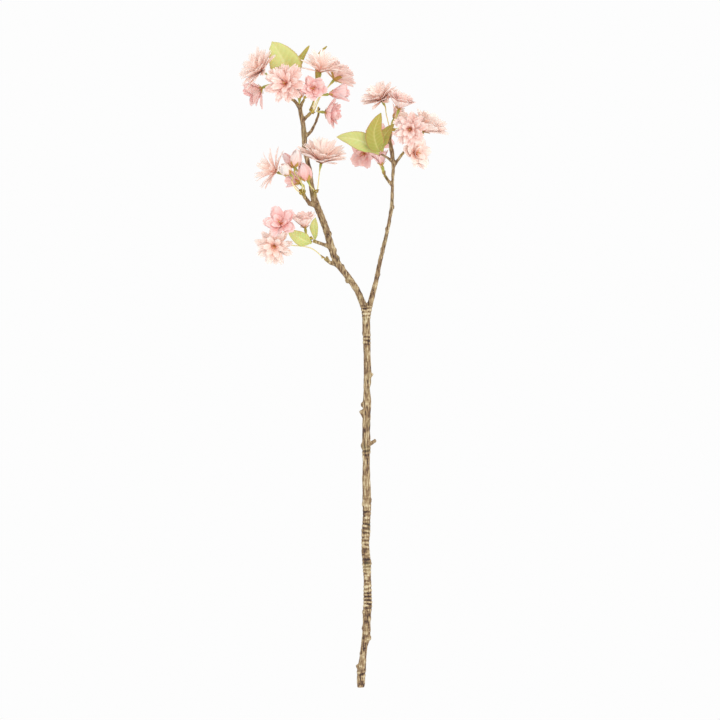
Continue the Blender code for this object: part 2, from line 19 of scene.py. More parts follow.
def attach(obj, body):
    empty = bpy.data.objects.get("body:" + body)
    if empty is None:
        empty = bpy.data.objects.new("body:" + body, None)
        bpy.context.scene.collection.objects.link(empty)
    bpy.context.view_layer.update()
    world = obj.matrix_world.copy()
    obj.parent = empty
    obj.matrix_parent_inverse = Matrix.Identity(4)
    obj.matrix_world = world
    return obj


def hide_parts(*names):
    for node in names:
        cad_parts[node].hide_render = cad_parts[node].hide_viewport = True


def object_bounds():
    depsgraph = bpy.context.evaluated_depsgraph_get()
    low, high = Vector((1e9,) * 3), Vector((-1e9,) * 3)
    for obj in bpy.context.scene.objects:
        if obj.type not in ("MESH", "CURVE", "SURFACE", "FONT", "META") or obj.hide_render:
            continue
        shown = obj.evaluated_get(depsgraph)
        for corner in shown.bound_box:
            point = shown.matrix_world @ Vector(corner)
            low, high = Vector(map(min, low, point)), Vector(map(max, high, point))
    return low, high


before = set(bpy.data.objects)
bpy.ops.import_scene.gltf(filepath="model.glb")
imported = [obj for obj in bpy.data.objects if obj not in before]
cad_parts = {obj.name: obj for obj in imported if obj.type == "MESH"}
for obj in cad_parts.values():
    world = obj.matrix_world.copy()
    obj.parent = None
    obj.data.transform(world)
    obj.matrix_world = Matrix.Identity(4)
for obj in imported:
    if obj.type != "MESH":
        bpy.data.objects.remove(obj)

LOG = logging.getLogger("sprig")
MM = 0.001
BODY = "root"
BRANCH_NODE = "woody_branch"
CAD_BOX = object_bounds()
UP = Vector((0.0, 0.0, 1.0))
FULL_TURN = 2.0 * math.pi
SHARP_EDGE = math.radians(60.0)
WELD_GAP = 0.02 * MM
ORDER_STEP = 0.0001 * MM
FOOT_REACH = 1.7 * MM
TIP_REACH = 1.4 * MM


def hex_rgba(code: str) -> tuple[float, float, float, float]:
    """Turn an sRGB hex colour into linear values.

    Args:
        code: six hex digits with a leading #.

    Returns:
        Linear red, green and blue, and an alpha of one.
    """
    shares = [int(code[place:place + 2], 16) / 255.0 for place in (1, 3, 5)]
    linear = [s / 12.92 if s <= 0.04045 else ((s + 0.055) / 1.055) ** 2.4 for s in shares]
    return (linear[0], linear[1], linear[2], 1.0)


def add_node(tree: bpy.types.NodeTree, kind: str, options: dict | None = None,
             values: dict | None = None, links: dict | None = None,
             stops: list | None = None) -> bpy.types.Node:
    """Add one node to a tree.

    Args:
        tree: the shader or geometry tree.
        kind: the node's type name.
        options: the node's own settings by name.
        values: constants by input name or place.
        links: source sockets by input name or place.
        stops: places and hex colours, for a colour ramp.

    Returns:
        The new node.
    """
    node = tree.nodes.new(kind)
    for name, value in (options or {}).items():
        setattr(node, name, value)
    for key, value in (values or {}).items():
        node.inputs[key].default_value = value
    for key, source in (links or {}).items():
        tree.links.new(source, node.inputs[key])
    if stops:
        elements = node.color_ramp.elements
        while len(elements) < len(stops):
            elements.new(1.0)
        for element, (place, code) in zip(elements, stops):
            element.position = place
            element.color = hex_rgba(code)
    return node


def new_material(name: str) -> tuple[bpy.types.Material, bpy.types.NodeTree, bpy.types.Node]:
    """Start a material and return it with its tree and its Principled shader."""
    made = bpy.data.materials.new(name)
    made.use_nodes = True
    return made, made.node_tree, made.node_tree.nodes["Principled BSDF"]


# --------------------------------------------------------------------------- finishes


@dataclass(frozen=True)
class PetalFinish:
    """Living cherry petal: a soft, slightly translucent film.

    The eye sees a coral throat that fades to a pale tip, faint lengthwise veins and a
    margin a little pinker than the middle, with no shine.
    """

    name: str
    throat: str
    blush: str
    body: str
    tip: str
    margin: str
    vein_count: float = 3.6
    roughness: float = 0.55

    def make(self) -> bpy.types.Material:
        """Build the material from the petals' own along, across and tone values.

        Returns:
            The petal's material.
        """
        made, tree, shader = new_material(self.name)
        along = add_node(tree, "ShaderNodeAttribute", {"attribute_name": "along"})
        across = add_node(tree, "ShaderNodeAttribute", {"attribute_name": "across"})
        tone = add_node(tree, "ShaderNodeAttribute", {"attribute_name": "tone"})
        shift = add_node(tree, "ShaderNodeMath", {"operation": "MULTIPLY_ADD"},
                         {1: 0.24, 2: -0.12}, {0: tone.outputs["Fac"]})
        place = add_node(tree, "ShaderNodeMath", {"operation": "ADD", "use_clamp": True}, None,
                         {0: along.outputs["Fac"], 1: shift.outputs[0]})
        fade = add_node(tree, "ShaderNodeValToRGB", None, None, {"Fac": place.outputs[0]},
                        [(0.0, self.throat), (0.2, self.blush), (0.55, self.body), (1.0, self.tip)])
        run = add_node(tree, "ShaderNodeCombineXYZ", None, None,
                       {"X": across.outputs["Fac"], "Y": along.outputs["Fac"],
                        "Z": tone.outputs["Fac"]})
        stretch = add_node(tree, "ShaderNodeMapping", None,
                           {"Scale": (self.vein_count, 1.1, 40.0)}, {"Vector": run.outputs[0]})
        veins = add_node(tree, "ShaderNodeTexNoise", None,
                         {"Scale": 1.0, "Detail": 2.0, "Roughness": 0.6},
                         {"Vector": stretch.outputs[0]})
        vein_share = add_node(tree, "ShaderNodeMapRange", None,
                              {"From Min": 0.48, "From Max": 0.7, "To Min": 0.0, "To Max": 0.85},
                              {"Value": veins.outputs["Fac"]})
        veined = add_node(tree, "ShaderNodeMix", {"data_type": "RGBA"}, {7: hex_rgba(self.blush)},
                          {0: vein_share.outputs[0], 6: fade.outputs["Color"]})
        side = add_node(tree, "ShaderNodeMath", {"operation": "ABSOLUTE"}, None,
                        {0: across.outputs["Fac"]})
        rim = add_node(tree, "ShaderNodeMapRange", None,
                       {"From Min": 0.75, "From Max": 1.0, "To Min": 0.0, "To Max": 0.45},
                       {"Value": side.outputs[0]})
        edged = add_node(tree, "ShaderNodeMix", {"data_type": "RGBA"}, {7: hex_rgba(self.margin)},
                         {0: rim.outputs[0], 6: veined.outputs[2]})
        bump = add_node(tree, "ShaderNodeBump", None, {"Strength": 0.08, "Distance": 0.0003},
                        {"Height": veins.outputs["Fac"]})
        tree.links.new(edged.outputs[2], shader.inputs["Base Color"])
        tree.links.new(bump.outputs["Normal"], shader.inputs["Normal"])
        shader.inputs["Roughness"].default_value = self.roughness
        shader.inputs["Subsurface Weight"].default_value = 0.6
        shader.inputs["Subsurface Radius"].default_value = (1.0, 1.0, 1.0)
        shader.inputs["Subsurface Scale"].default_value = 0.35 * MM
        shader.inputs["Specular IOR Level"].default_value = 0.3
        return made


@dataclass(frozen=True)
class BarkFinish:
    """Young cherry bark: grey-brown cork, with painted shade in its folds and a painted highlight on
    its crests.
    """

    name: str = "cherry_bark"
    # The first colour is painted shade for the folds and the last is a painted highlight for the
    # crests; body and worn are the cork's own colours.
    fold_shade: str = "#34221A"
    body: str = "#7F6144"
    worn: str = "#AC946C"
    crest_highlight: str = "#D9CBA9"
    moss: str = "#8A8656"
    shoot: str = "#C4B052"
    grain_length: float = 8.0 * MM
    grain_width: float = 1.1 * MM

    def make(self) -> bpy.types.Material:
        """Build the material from the bark's relief and grain in real millimetres.

        Returns:
            The bark's material.
        """
        made, tree, shader = new_material(self.name)
        where = add_node(tree, "ShaderNodeTexCoord")
        crest = add_node(tree, "ShaderNodeAttribute", {"attribute_name": "crest"})
        young = add_node(tree, "ShaderNodeAttribute", {"attribute_name": "young"})
        grain_scale = (1.0 / self.grain_width, 1.0 / self.grain_length, 1.0 / self.grain_width)
        drawn = add_node(tree, "ShaderNodeMapping", None, {"Scale": grain_scale},
                         {"Vector": where.outputs["Object"]})
        grain = add_node(tree, "ShaderNodeTexNoise", None,
                         {"Scale": 1.0, "Detail": 5.0, "Roughness": 0.65},
                         {"Vector": drawn.outputs[0]})
        patch = add_node(tree, "ShaderNodeTexNoise", None, {"Scale": 60.0, "Detail": 3.0},
                         {"Vector": where.outputs["Object"]})
        # Relief height and grain together pick the colour: low relief gets painted shade and high
        # relief a painted highlight, over the grain's own light and dark.
        mixed = add_node(tree, "ShaderNodeMath", {"operation": "MULTIPLY_ADD"}, {1: 0.55},
                         {0: crest.outputs["Fac"], 2: grain.outputs["Fac"]})
        level = add_node(tree, "ShaderNodeMapRange", None,
                         {"From Min": 0.58, "From Max": 1.04}, {"Value": mixed.outputs[0]})
        cork = add_node(tree, "ShaderNodeValToRGB", None, None, {"Fac": level.outputs[0]},
                        [(0.0, self.fold_shade), (0.32, self.body), (0.62, self.worn),
                         (1.0, self.crest_highlight)])
        green = add_node(tree, "ShaderNodeMapRange", None,
                         {"From Min": 0.56, "From Max": 0.75, "To Max": 0.3},
                         {"Value": patch.outputs["Fac"]})
        tinted = add_node(tree, "ShaderNodeMix", {"data_type": "RGBA"}, {7: hex_rgba(self.moss)},
                          {0: green.outputs[0], 6: cork.outputs["Color"]})
        flush = add_node(tree, "ShaderNodeMath", {"operation": "MULTIPLY", "use_clamp": True}, None,
                         {0: young.outputs["Fac"], 1: grain.outputs["Fac"]})
        fresh = add_node(tree, "ShaderNodeMix", {"data_type": "RGBA"}, {7: hex_rgba(self.shoot)},
                         {0: flush.outputs[0], 6: tinted.outputs[2]})
        bump = add_node(tree, "ShaderNodeBump", None, {"Strength": 0.8, "Distance": 0.0006},
                        {"Height": grain.outputs["Fac"]})
        rough = add_node(tree, "ShaderNodeMapRange", None, {"To Min": 0.62, "To Max": 0.9},
                         {"Value": grain.outputs["Fac"]})
        tree.links.new(fresh.outputs[2], shader.inputs["Base Color"])
        tree.links.new(rough.outputs[0], shader.inputs["Roughness"])
        tree.links.new(bump.outputs["Normal"], shader.inputs["Normal"])
        return made


@dataclass(frozen=True)
class StalkFinish:
    """Flower stalk and green cup: pale waxy yellow that turns olive at the cup."""

    name: str = "stalk_and_cup"
    stalk: str = "#EBE09A"
    neck: str = "#C9C26A"
    cup: str = "#9BA046"
    blush: str = "#C58A48"

    def make(self) -> bpy.types.Material:
        """Build the material from the stalk's own nearness to the flower.

        Returns:
            The stalk's and cup's material.
        """
        made, tree, shader = new_material(self.name)
        near = add_node(tree, "ShaderNodeAttribute", {"attribute_name": "near"})
        where = add_node(tree, "ShaderNodeTexCoord")
        blotch = add_node(tree, "ShaderNodeTexNoise", None, {"Scale": 420.0, "Detail": 2.0},
                          {"Vector": where.outputs["Object"]})
        fade = add_node(tree, "ShaderNodeValToRGB", None, None, {"Fac": near.outputs["Fac"]},
                        [(0.0, self.stalk), (0.45, self.neck), (0.75, self.cup), (1.0, self.cup)])
        share = add_node(tree, "ShaderNodeMapRange", None,
                         {"From Min": 0.5, "From Max": 0.8, "To Max": 0.6},
                         {"Value": blotch.outputs["Fac"]})
        mixed = add_node(tree, "ShaderNodeMix", {"data_type": "RGBA"}, {7: hex_rgba(self.blush)},
                         {0: share.outputs[0], 6: fade.outputs["Color"]})
        tree.links.new(mixed.outputs[2], shader.inputs["Base Color"])
        shader.inputs["Roughness"].default_value = 0.5
        shader.inputs["Subsurface Weight"].default_value = 0.15
        shader.inputs["Subsurface Scale"].default_value = 1.0 * MM
        return made


@dataclass(frozen=True)
class LeafFinish:
    """Young cherry leaf: thin, yellow-green, with paler veins and a reddish margin."""

    name: str
    base: str
    far: str
    vein: str
    margin: str

    def make(self) -> bpy.types.Material:
        """Build the material from the blade's own along, across and vein values.

        Returns:
            The blade's material.
        """
        made, tree, shader = new_material(self.name)
        along = add_node(tree, "ShaderNodeAttribute", {"attribute_name": "along"})
        across = add_node(tree, "ShaderNodeAttribute", {"attribute_name": "across"})
        vein = add_node(tree, "ShaderNodeAttribute", {"attribute_name": "vein"})
        where = add_node(tree, "ShaderNodeTexCoord")
        cells = add_node(tree, "ShaderNodeTexNoise", None, {"Scale": 330.0, "Detail": 4.0},
                         {"Vector": where.outputs["Object"]})
        clouds = add_node(tree, "ShaderNodeTexNoise", None, {"Scale": 70.0, "Detail": 2.0},
                          {"Vector": where.outputs["Object"]})
        spread = add_node(tree, "ShaderNodeMath", {"operation": "MULTIPLY_ADD"}, {1: 0.6},
                          {0: clouds.outputs["Fac"], 2: along.outputs["Fac"]})
        fade = add_node(tree, "ShaderNodeMapRange", None, {"From Min": 0.2, "From Max": 1.3},
                        {"Value": spread.outputs[0]})
        blade = add_node(tree, "ShaderNodeMix", {"data_type": "RGBA"},
                         {6: hex_rgba(self.base), 7: hex_rgba(self.far)}, {0: fade.outputs[0]})
        veined = add_node(tree, "ShaderNodeMix", {"data_type": "RGBA"}, {7: hex_rgba(self.vein)},
                          {0: vein.outputs["Fac"], 6: blade.outputs[2]})
        side = add_node(tree, "ShaderNodeMath", {"operation": "ABSOLUTE"}, None,
                        {0: across.outputs["Fac"]})
        rim = add_node(tree, "ShaderNodeMapRange", None,
                       {"From Min": 0.86, "From Max": 1.0, "To Max": 0.85},
                       {"Value": side.outputs[0]})
        edged = add_node(tree, "ShaderNodeMix", {"data_type": "RGBA"}, {7: hex_rgba(self.margin)},
                         {0: rim.outputs[0], 6: veined.outputs[2]})
        bump = add_node(tree, "ShaderNodeBump", None, {"Strength": 0.3, "Distance": 0.0003},
                        {"Height": cells.outputs["Fac"]})
        tree.links.new(edged.outputs[2], shader.inputs["Base Color"])
        tree.links.new(bump.outputs["Normal"], shader.inputs["Normal"])
        shader.inputs["Roughness"].default_value = 0.45
        shader.inputs["Subsurface Weight"].default_value = 0.2
        shader.inputs["Subsurface Scale"].default_value = 1.5 * MM
        return made


@dataclass(frozen=True)
class PlainFinish:
    """Small part of one tissue, with a fine mottle over its colour."""

    name: str
    colour: str
    mottle: str
    roughness: float = 0.55
    grain: float = 0.8 * MM

    def make(self) -> bpy.types.Material:
        """Build the mottled material.

        Returns:
            The tissue's material.
        """
        made, tree, shader = new_material(self.name)
        where = add_node(tree, "ShaderNodeTexCoord")
        speck = add_node(tree, "ShaderNodeTexNoise", None,
                         {"Scale": 1.0 / self.grain, "Detail": 3.0},
                         {"Vector": where.outputs["Object"]})
        mixed = add_node(tree, "ShaderNodeMix", {"data_type": "RGBA"},
                         {6: hex_rgba(self.colour), 7: hex_rgba(self.mottle)},
                         {0: speck.outputs["Fac"]})
        tree.links.new(mixed.outputs[2], shader.inputs["Base Color"])
        shader.inputs["Roughness"].default_value = self.roughness
        return made


class Tone(Enum):
    """How deep a blossom's pink is."""

    PALE = PetalFinish("pale_cherry_petal", "#F6AC86", "#F8CDBF", "#FBE3D9", "#FCEDE6", "#FADAD1")
    BLUSH = PetalFinish("blush_cherry_petal", "#F4A27C", "#F6C3B8", "#FADAD1", "#FBE6DF", "#F6C9C1")
    PINK = PetalFinish("pink_cherry_petal", "#F29C80", "#F4B8B1", "#F7CDC9", "#F9D9D5", "#F3BCB7")


BARK = BarkFinish()
STALK = StalkFinish()
SPRING_LEAF = LeafFinish("spring_green_leaf", "#B4BC5E", "#CBD183", "#D6DA98", "#A98F55")
OLIVE_LEAF = LeafFinish("olive_young_leaf", "#9A9E3E", "#ACA044", "#C2BC6C", "#A8744A")
SEPAL = PlainFinish("olive_sepal", "#A9A342", "#D0803C", 0.55, 2.0 * MM)
FILAMENT = PlainFinish("coral_filament", "#E58A5C", "#DE6440")
ANTHER = PlainFinish("pollen_anther", "#E0A63A", "#C4621F")
SCALE = PlainFinish("brown_bud_scale", "#7C5433", "#AD8A4C", 0.7)
PISTIL = PlainFinish("green_pistil", "#CDD07E", "#B9B75C", 0.5)
YOUNG_SCALE = PlainFinish("yellow_bud_scale", "#D8C458", "#B5A23E", 0.6)
LENTICEL = PlainFinish("cork_lenticel", "#CDBB9B", "#A58B68", 0.85)
PITH = PlainFinish("cut_wood", "#D8B98C", "#B98E5C", 0.8)

Finish = PetalFinish | BarkFinish | StalkFinish | LeafFinish | PlainFinish
MATERIALS: dict[str, bpy.types.Material] = {}


def finish_of(finish: Finish) -> bpy.types.Material:
    """Return the finish's material, made the first time that it is asked for."""
    if finish.name not in MATERIALS:
        MATERIALS[finish.name] = finish.make()
    return MATERIALS[finish.name]


# --------------------------------------------------------------------------- meshes


def node_points(node: str) -> np.ndarray:
    """Return the vertices of a CAD node as rows of x, y and z.

    Args:
        node: the CAD node's name.

    Returns:
        Points, one for each vertex.
    """
    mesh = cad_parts[node].data
    points = np.zeros(len(mesh.vertices) * 3)
    mesh.vertices.foreach_get("co", points)
    return points.reshape(-1, 3)


def tree_of(points: np.ndarray) -> kdtree.KDTree:
    """Return a search tree over rows of points.

    Args:
        points: rows of x, y and z.

    Returns:
        The tree, ready to search.
    """
    tree = kdtree.KDTree(len(points))
    for index, point in enumerate(points):
        tree.insert(point, index)
    tree.balance()
    return tree


BRANCH_TREE = tree_of(node_points(BRANCH_NODE))


def merged_copy(node: str) -> bmesh.types.BMesh:
    """Return a CAD node's shape as one welded, quad-led mesh.

    Args:
        node: the CAD node's name.

    Returns:
        The welded shape, which the caller frees.
    """
    shape = bmesh.new()
    shape.from_mesh(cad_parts[node].data)
    bmesh.ops.remove_doubles(shape, verts=shape.verts, dist=WELD_GAP)
    bmesh.ops.join_triangles(shape, faces=shape.faces, angle_face_threshold=0.8,
                             angle_shape_threshold=0.8)
    return shape


def rows_of(node: str, in_row: int) -> np.ndarray:
    """Sort a stalked CAD piece's vertices into its rows, from its foot to its tip.

    A smooth rise from nothing at the foot to one at the tip is solved over the mesh's edges,
    so that all vertices of a row share one value even where the piece bends.

    Args:
        node: a tube, or a blade with its petiole.
        in_row: how many vertices each of its rings or rows has.

    Returns:
        Points, rows by vertices by three.
    """
    shape = merged_copy(node)
    shape.verts.ensure_lookup_table()
    points = np.array([vertex.co for vertex in shape.verts])
    links = [[edge.other_vert(vertex).index for edge in vertex.link_edges]
             for vertex in shape.verts]
    shape.free()
    foot = int(np.argmin([BRANCH_TREE.find(point)[2] for point in points]))
    hops = np.full(len(points), -1)
    hops[foot] = 0
    front = [foot]
    while front:
        reached = []
        for index in front:
            for other in links[index]:
                if hops[other] < 0:
                    hops[other] = hops[index] + 1
                    reached.append(other)
        front = reached
    tip = int(np.argmax(hops * 1000.0 + np.linalg.norm(points - points[foot], axis=1)))
    system = np.zeros((len(points), len(points)))
    known = np.zeros(len(points))
    for index, others in enumerate(links):
        at_foot = np.linalg.norm(points[index] - points[foot]) < FOOT_REACH
        at_tip = np.linalg.norm(points[index] - points[tip]) < TIP_REACH
        system[index, index] = 1.0
        if at_foot or at_tip:
            known[index] = float(at_tip)
        else:
            system[index, others] = -1.0 / len(others)
    rise = np.linalg.solve(system, known)
    order = np.argsort(rise, kind="stable")
    order = order[:len(order) // in_row * in_row]
    return points[order].reshape(-1, in_row, 3)


def put_in_scene(mesh: bpy.types.Mesh, name: str) -> bpy.types.Object:
    """Give a mesh an object at the origin.

    Args:
        mesh: the piece's mesh, with its place in its points.
        name: the object's and the mesh's name.

    Returns:
        The new object.
    """
    mesh.name = name
    made = bpy.data.objects.new(name, mesh)
    bpy.context.scene.collection.objects.link(made)
    return made


def applied(item: bpy.types.Object) -> bpy.types.Mesh:
    """Remove an object and return its mesh after its modifiers, with no empty material slot.

    Args:
        item: an object whose modifiers are still live.

    Returns:
        The plain mesh.
    """
    bpy.context.view_layer.update()
    evaluated = item.evaluated_get(bpy.context.evaluated_depsgraph_get())
    mesh = bpy.data.meshes.new_from_object(evaluated)
    bpy.data.objects.remove(item, do_unlink=True)
    while mesh.materials and mesh.materials[0] is None:
        places = np.zeros(len(mesh.polygons), dtype=np.int32)
        mesh.polygons.foreach_get("material_index", places)
        mesh.materials.pop(index=0)
        mesh.polygons.foreach_set("material_index", np.maximum(places - 1, 0))
    return mesh


def set_values(mesh: bpy.types.Mesh, name: str, values: np.ndarray) -> None:
    """Store one number for each vertex."""
    layer = mesh.attributes.get(name) or mesh.attributes.new(name, "FLOAT", "POINT")
    layer.data.foreach_set("value", np.asarray(values, np.float32))


def rest_on_table(mesh: bpy.types.Mesh) -> None:
    """Flatten onto the table whatever would reach below it.

    Args:
        mesh: a finished piece's mesh.
    """
    points = np.zeros(len(mesh.vertices) * 3)
    mesh.vertices.foreach_get("co", points)
    points[2::3] = np.maximum(points[2::3], 0.0)
    mesh.vertices.foreach_set("co", points)


def register(item: bpy.types.Object, slot: str, *nodes: str) -> None:
    """Tie a finished piece to the body and hide the CAD nodes that it stands for.

    Args:
        item: the finished piece.
        slot: not used.
        nodes: the CAD nodes that it replaces.
    """
    rest_on_table(item.data)
    item.data.shade_smooth()
    item.data.set_sharp_from_angle(angle=SHARP_EDGE)
    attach(item, BODY)
    if nodes:
        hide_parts(*nodes)
    LOG.info("%s: %d faces", item.name, len(item.data.polygons))


@dataclass
class Shells:
    """Thin closed shells gathered into one mesh with along, across and tone values."""

    points: list = field(default_factory=list)
    faces: list = field(default_factory=list)
    along: list = field(default_factory=list)
    across: list = field(default_factory=list)
    tone: list = field(default_factory=list)
    vein: list = field(default_factory=list)
    finishes: list = field(default_factory=list)
    count: int = 0

    def add(self, middle: np.ndarray, thickness: float, tone: float, finish: int = 0,
            vein: np.ndarray | None = None) -> None:
        """Add a shell around a grid of points.

        Args:
            middle: points of the mid-surface, rows along by columns across.
            thickness: the shell's thickness at its middle.
            tone: one number for the whole shell.
            finish: place of its material on the finished piece.
            vein: how much each point belongs to a vein.
        """
        rows, columns = middle.shape[:2]
        run = np.gradient(middle, axis=0)
        side = np.gradient(middle, axis=1)
        normal = np.cross(side, run)
        normal /= np.maximum(np.linalg.norm(normal, axis=2, keepdims=True), 1e-12)
        across = np.linspace(-1.0, 1.0, columns)
        half = 0.5 * thickness * (1.0 - 0.6 * across ** 2)[None, :, None]
        for layer in (middle + normal * half, middle - normal * half):
            self.points.append(layer.reshape(-1, 3))
            self.along.append(np.repeat(np.linspace(0.0, 1.0, rows), columns))
            self.across.append(np.tile(across, rows))
            self.tone.append(np.full(rows * columns, tone))
            self.vein.append(np.zeros(rows * columns) if vein is None else vein.reshape(-1))
        size = rows * columns
        place = np.arange(size).reshape(rows, columns) + self.count
        corner = (place[:-1, :-1], place[:-1, 1:], place[1:, 1:], place[1:, :-1])
        front = np.stack([c.reshape(-1) for c in corner], axis=1)
        rim = np.concatenate([place[0, :], place[1:, -1], place[-1, -2::-1], place[-2:0:-1, 0]])
        after = np.roll(rim, -1)
        wall = np.stack([after, rim, rim + size, after + size], axis=1)
        quads = np.concatenate([front, front[:, ::-1] + size, wall])
        self.faces.append(quads)
        self.finishes.append(np.full(len(quads), finish))
        self.count += 2 * size

    def to_object(self, name: str, finishes: list) -> bpy.types.Object:
        """Make the gathered shells one object with its materials.

        Args:
            name: the piece's name.
            finishes: its materials' finishes, in the order that the shells name them.

        Returns:
            The new object.
        """
        mesh = bpy.data.meshes.new(name)
        points = np.concatenate(self.points)
        faces = np.concatenate(self.faces)
        mesh.from_pydata(points.tolist(), [], faces.tolist())
        for label in ("along", "across", "tone", "vein"):
            set_values(mesh, label, np.concatenate(getattr(self, label)))
        for finish in finishes:
            mesh.materials.append(finish_of(finish))
        mesh.polygons.foreach_set("material_index", np.concatenate(self.finishes))
        mesh.update()
        return put_in_scene(mesh, name)


# --------------------------------------------------------------------------- flowers


@dataclass(frozen=True)
class FlowerFrame:
    """A flower's base, the way it looks, how far its petals reach and how wide they open."""

    base: Vector
    axis: Vector
    reach: float
    spread: float

    @classmethod
    def from_nodes(cls, petals: str, calyx: str) -> "FlowerFrame":
        """Read the frame from a CAD cup and its calyx.

        Args:
            petals: the cup's node.
            calyx: the stalk's node, whose end touches the cup's base.

        Returns:
            The flower's frame.
        """
        cup = node_points(petals)
        tree = tree_of(cup)
        nearest = min((tree.find(point) for point in node_points(calyx)), key=lambda hit: hit[2])
        base = Vector(cup[nearest[1]])
        axis = (Vector(cup.mean(axis=0)) - base).normalized()
        arms = cup - np.array(base)
        reaches = np.linalg.norm(arms, axis=1)
        rim = reaches > 0.97 * reaches.max()
        spread = np.arccos((arms[rim] @ np.array(axis)) / reaches[rim]).mean()
        return cls(base, axis, float(reaches.max()), float(spread))

    def turned(self, azimuth: float) -> tuple[np.ndarray, np.ndarray]:
        """Return the outward and the sideways direction at an azimuth.

        Args:
            azimuth: angle round the flower's axis, in radians.

        Returns:
            Two directions at right angles to the axis and to each other.
        """
        right = self.axis.orthogonal().normalized()
        if abs(self.axis.dot(UP)) < 0.9:
            right = self.axis.cross(UP).normalized()
        other = self.axis.cross(right)
        outward = right * math.cos(azimuth) + other * math.sin(azimuth)
        return np.array(outward), np.array(self.axis.cross(outward))

    def matrix(self) -> Matrix:
        """Return the transform that takes a part made along +Z to this flower."""
        return Matrix.Translation(self.base) @ self.axis.to_track_quat("Z", "Y").to_matrix().to_4x4()


@dataclass(frozen=True)
class PetalCut:
    """Outline and bend of one kind of petal, as shares of its length unless named otherwise."""

    width: float
    claw: float
    widest: float
    notch: float
    rounding: float
    cupping: float
    curl_degrees: float
    crinkle: float
    tip_width: float = 0.75
    thickness: float = 0.22 * MM
    rows: int = 13
    columns: int = 9


@dataclass(frozen=True)
class Whorl:
    """A ring of petals: how many, how open and how long beside the flower's own measure."""

    petals: int
    opening: float
    length: float


class Habit(Enum):
    """How a blossom holds its petals: their cut and their whorls from outside in."""

    FAN = (PetalCut(0.32, 0.2, 0.74, 0.12, 0.2, 0.25, 14.0, 0.008),
           (Whorl(9, 1.24, 0.94), Whorl(10, 1.06, 1.02), Whorl(9, 0.8, 1.02), Whorl(6, 0.5, 0.94)))
    SPARSE = (PetalCut(0.24, 0.2, 0.76, 0.12, 0.18, 0.25, 16.0, 0.01),
              (Whorl(8, 1.4, 0.94), Whorl(8, 1.12, 1.04), Whorl(6, 0.8, 1.04), Whorl(4, 0.45, 0.96)))
    FULL = (PetalCut(0.38, 0.22, 0.7, 0.1, 0.24, 0.25, 12.0, 0.009),
            (Whorl(9, 1.22, 1.02), Whorl(10, 1.02, 1.0), Whorl(9, 0.78, 0.94), Whorl(6, 0.46, 0.8)))
    OPEN = (PetalCut(0.64, 0.2, 0.62, 0.07, 0.3, 0.3, 8.0, 0.008),
            (Whorl(5, 1.12, 1.02), Whorl(5, 0.95, 0.95), Whorl(3, 0.62, 0.66)))
    CUP = (PetalCut(0.62, 0.24, 0.62, 0.06, 0.3, 0.36, 4.0, 0.008),
           (Whorl(6, 1.14, 1.02), Whorl(6, 0.86, 1.0), Whorl(5, 0.5, 0.92)))
    CLOSED = (PetalCut(0.62, 0.3, 0.58, 0.05, 0.34, 0.6, -12.0, 0.01),
              (Whorl(5, 1.2, 1.0), Whorl(5, 0.8, 0.98), Whorl(3, 0.35, 0.92)))
    SEPALS = (PetalCut(0.34, 0.7, 0.3, 0.0, 0.1, 0.3, 10.0, 0.01, 0.12, 0.3 * MM, 8, 5),
              (Whorl(5, 1.0, 1.0),))


def petal_surface(place: FlowerFrame, cut: PetalCut, length: float, opening: float,
                  azimuth: float, draw: np.random.Generator) -> np.ndarray:
    """Return the mid-surface of one petal.

    Args:
        place: the flower that bears it.
        cut: its outline and bend.
        length: from base to tip.
        opening: angle from the flower's axis at the base, in radians.
        azimuth: its place around the axis.
        draw: the flower's random numbers.

    Returns:
        Points, rows along the petal by columns across it.
    """
    share = np.linspace(0.0, 1.0, cut.rows)[:, None]
    across = np.linspace(-1.0, 1.0, cut.columns)[None, :]
    outline = 1.0 - cut.rounding * np.abs(across) ** 2.6
    outline -= cut.notch * np.exp(-(across / 0.2) ** 2) * draw.uniform(0.6, 1.5)
    run = 0.02 + 0.98 * share * (1.0 - share ** 3 * (1.0 - outline))
    swell = np.where(share < cut.widest, np.sin(0.5 * math.pi * share / cut.widest) ** 1.3,
                     1.0 - (1.0 - cut.tip_width) * ((share - cut.widest) / (1.0 - cut.widest)) ** 2)
    half = 0.5 * cut.width * length * (cut.claw + (1.0 - cut.claw) * swell)
    steps = np.linspace(0.0, 1.0, 60)
    lean = opening + math.radians(cut.curl_degrees) * draw.uniform(0.4, 1.6) * steps ** 2
    outward_run = np.concatenate([[0.0], np.cumsum(np.sin(lean[:-1]))]) / 59.0
    forward_run = np.concatenate([[0.0], np.cumsum(np.cos(lean[:-1]))]) / 59.0
    out = np.interp(run, steps, outward_run) * length
    forth = np.interp(run, steps, forward_run) * length
    angle = np.interp(run, steps, lean)
    sideways = across * half
    waves = np.sin(across * draw.uniform(3.0, 6.0) + draw.uniform(0.0, 6.28))
    waves = waves + 0.6 * np.sin(share * draw.uniform(5.0, 9.0) + across * 2.0)
    lift = cut.cupping * half * across ** 2 * draw.uniform(0.5, 1.2)
    lift = lift + cut.crinkle * length * waves * share
    twist = draw.uniform(-0.22, 0.22) * share
    sway = draw.uniform(-0.07, 0.07) * length * share ** 2
    outward, side = place.turned(azimuth)
    axis = np.array(place.axis)
    normal = np.sin(angle)[..., None] * axis - np.cos(angle)[..., None] * outward
    turned_side = sideways * np.cos(twist) - lift * np.sin(twist) + sway
    turned_lift = sideways * np.sin(twist) + lift * np.cos(twist)
    middle = (np.array(place.base) + forth[..., None] * axis + out[..., None] * outward
              + turned_side[..., None] * side + turned_lift[..., None] * normal)
    return kept_above_table(middle)


def kept_above_table(points: np.ndarray) -> np.ndarray:
    """Bend points that would pass through the table so that they lie on it.

    Args:
        points: points of one shell or mesh, three numbers last.

    Returns:
        The points, with the low ones eased up.
    """
    softness = 1.2 * MM
    rest = 0.25 * MM
    bent = points.copy()
    low = points[..., 2] < 6.0 * softness
    bent[..., 2] = np.where(low, rest + softness * np.log1p(np.exp(points[..., 2] / softness)) * 0.9,
                            points[..., 2])
    return bent


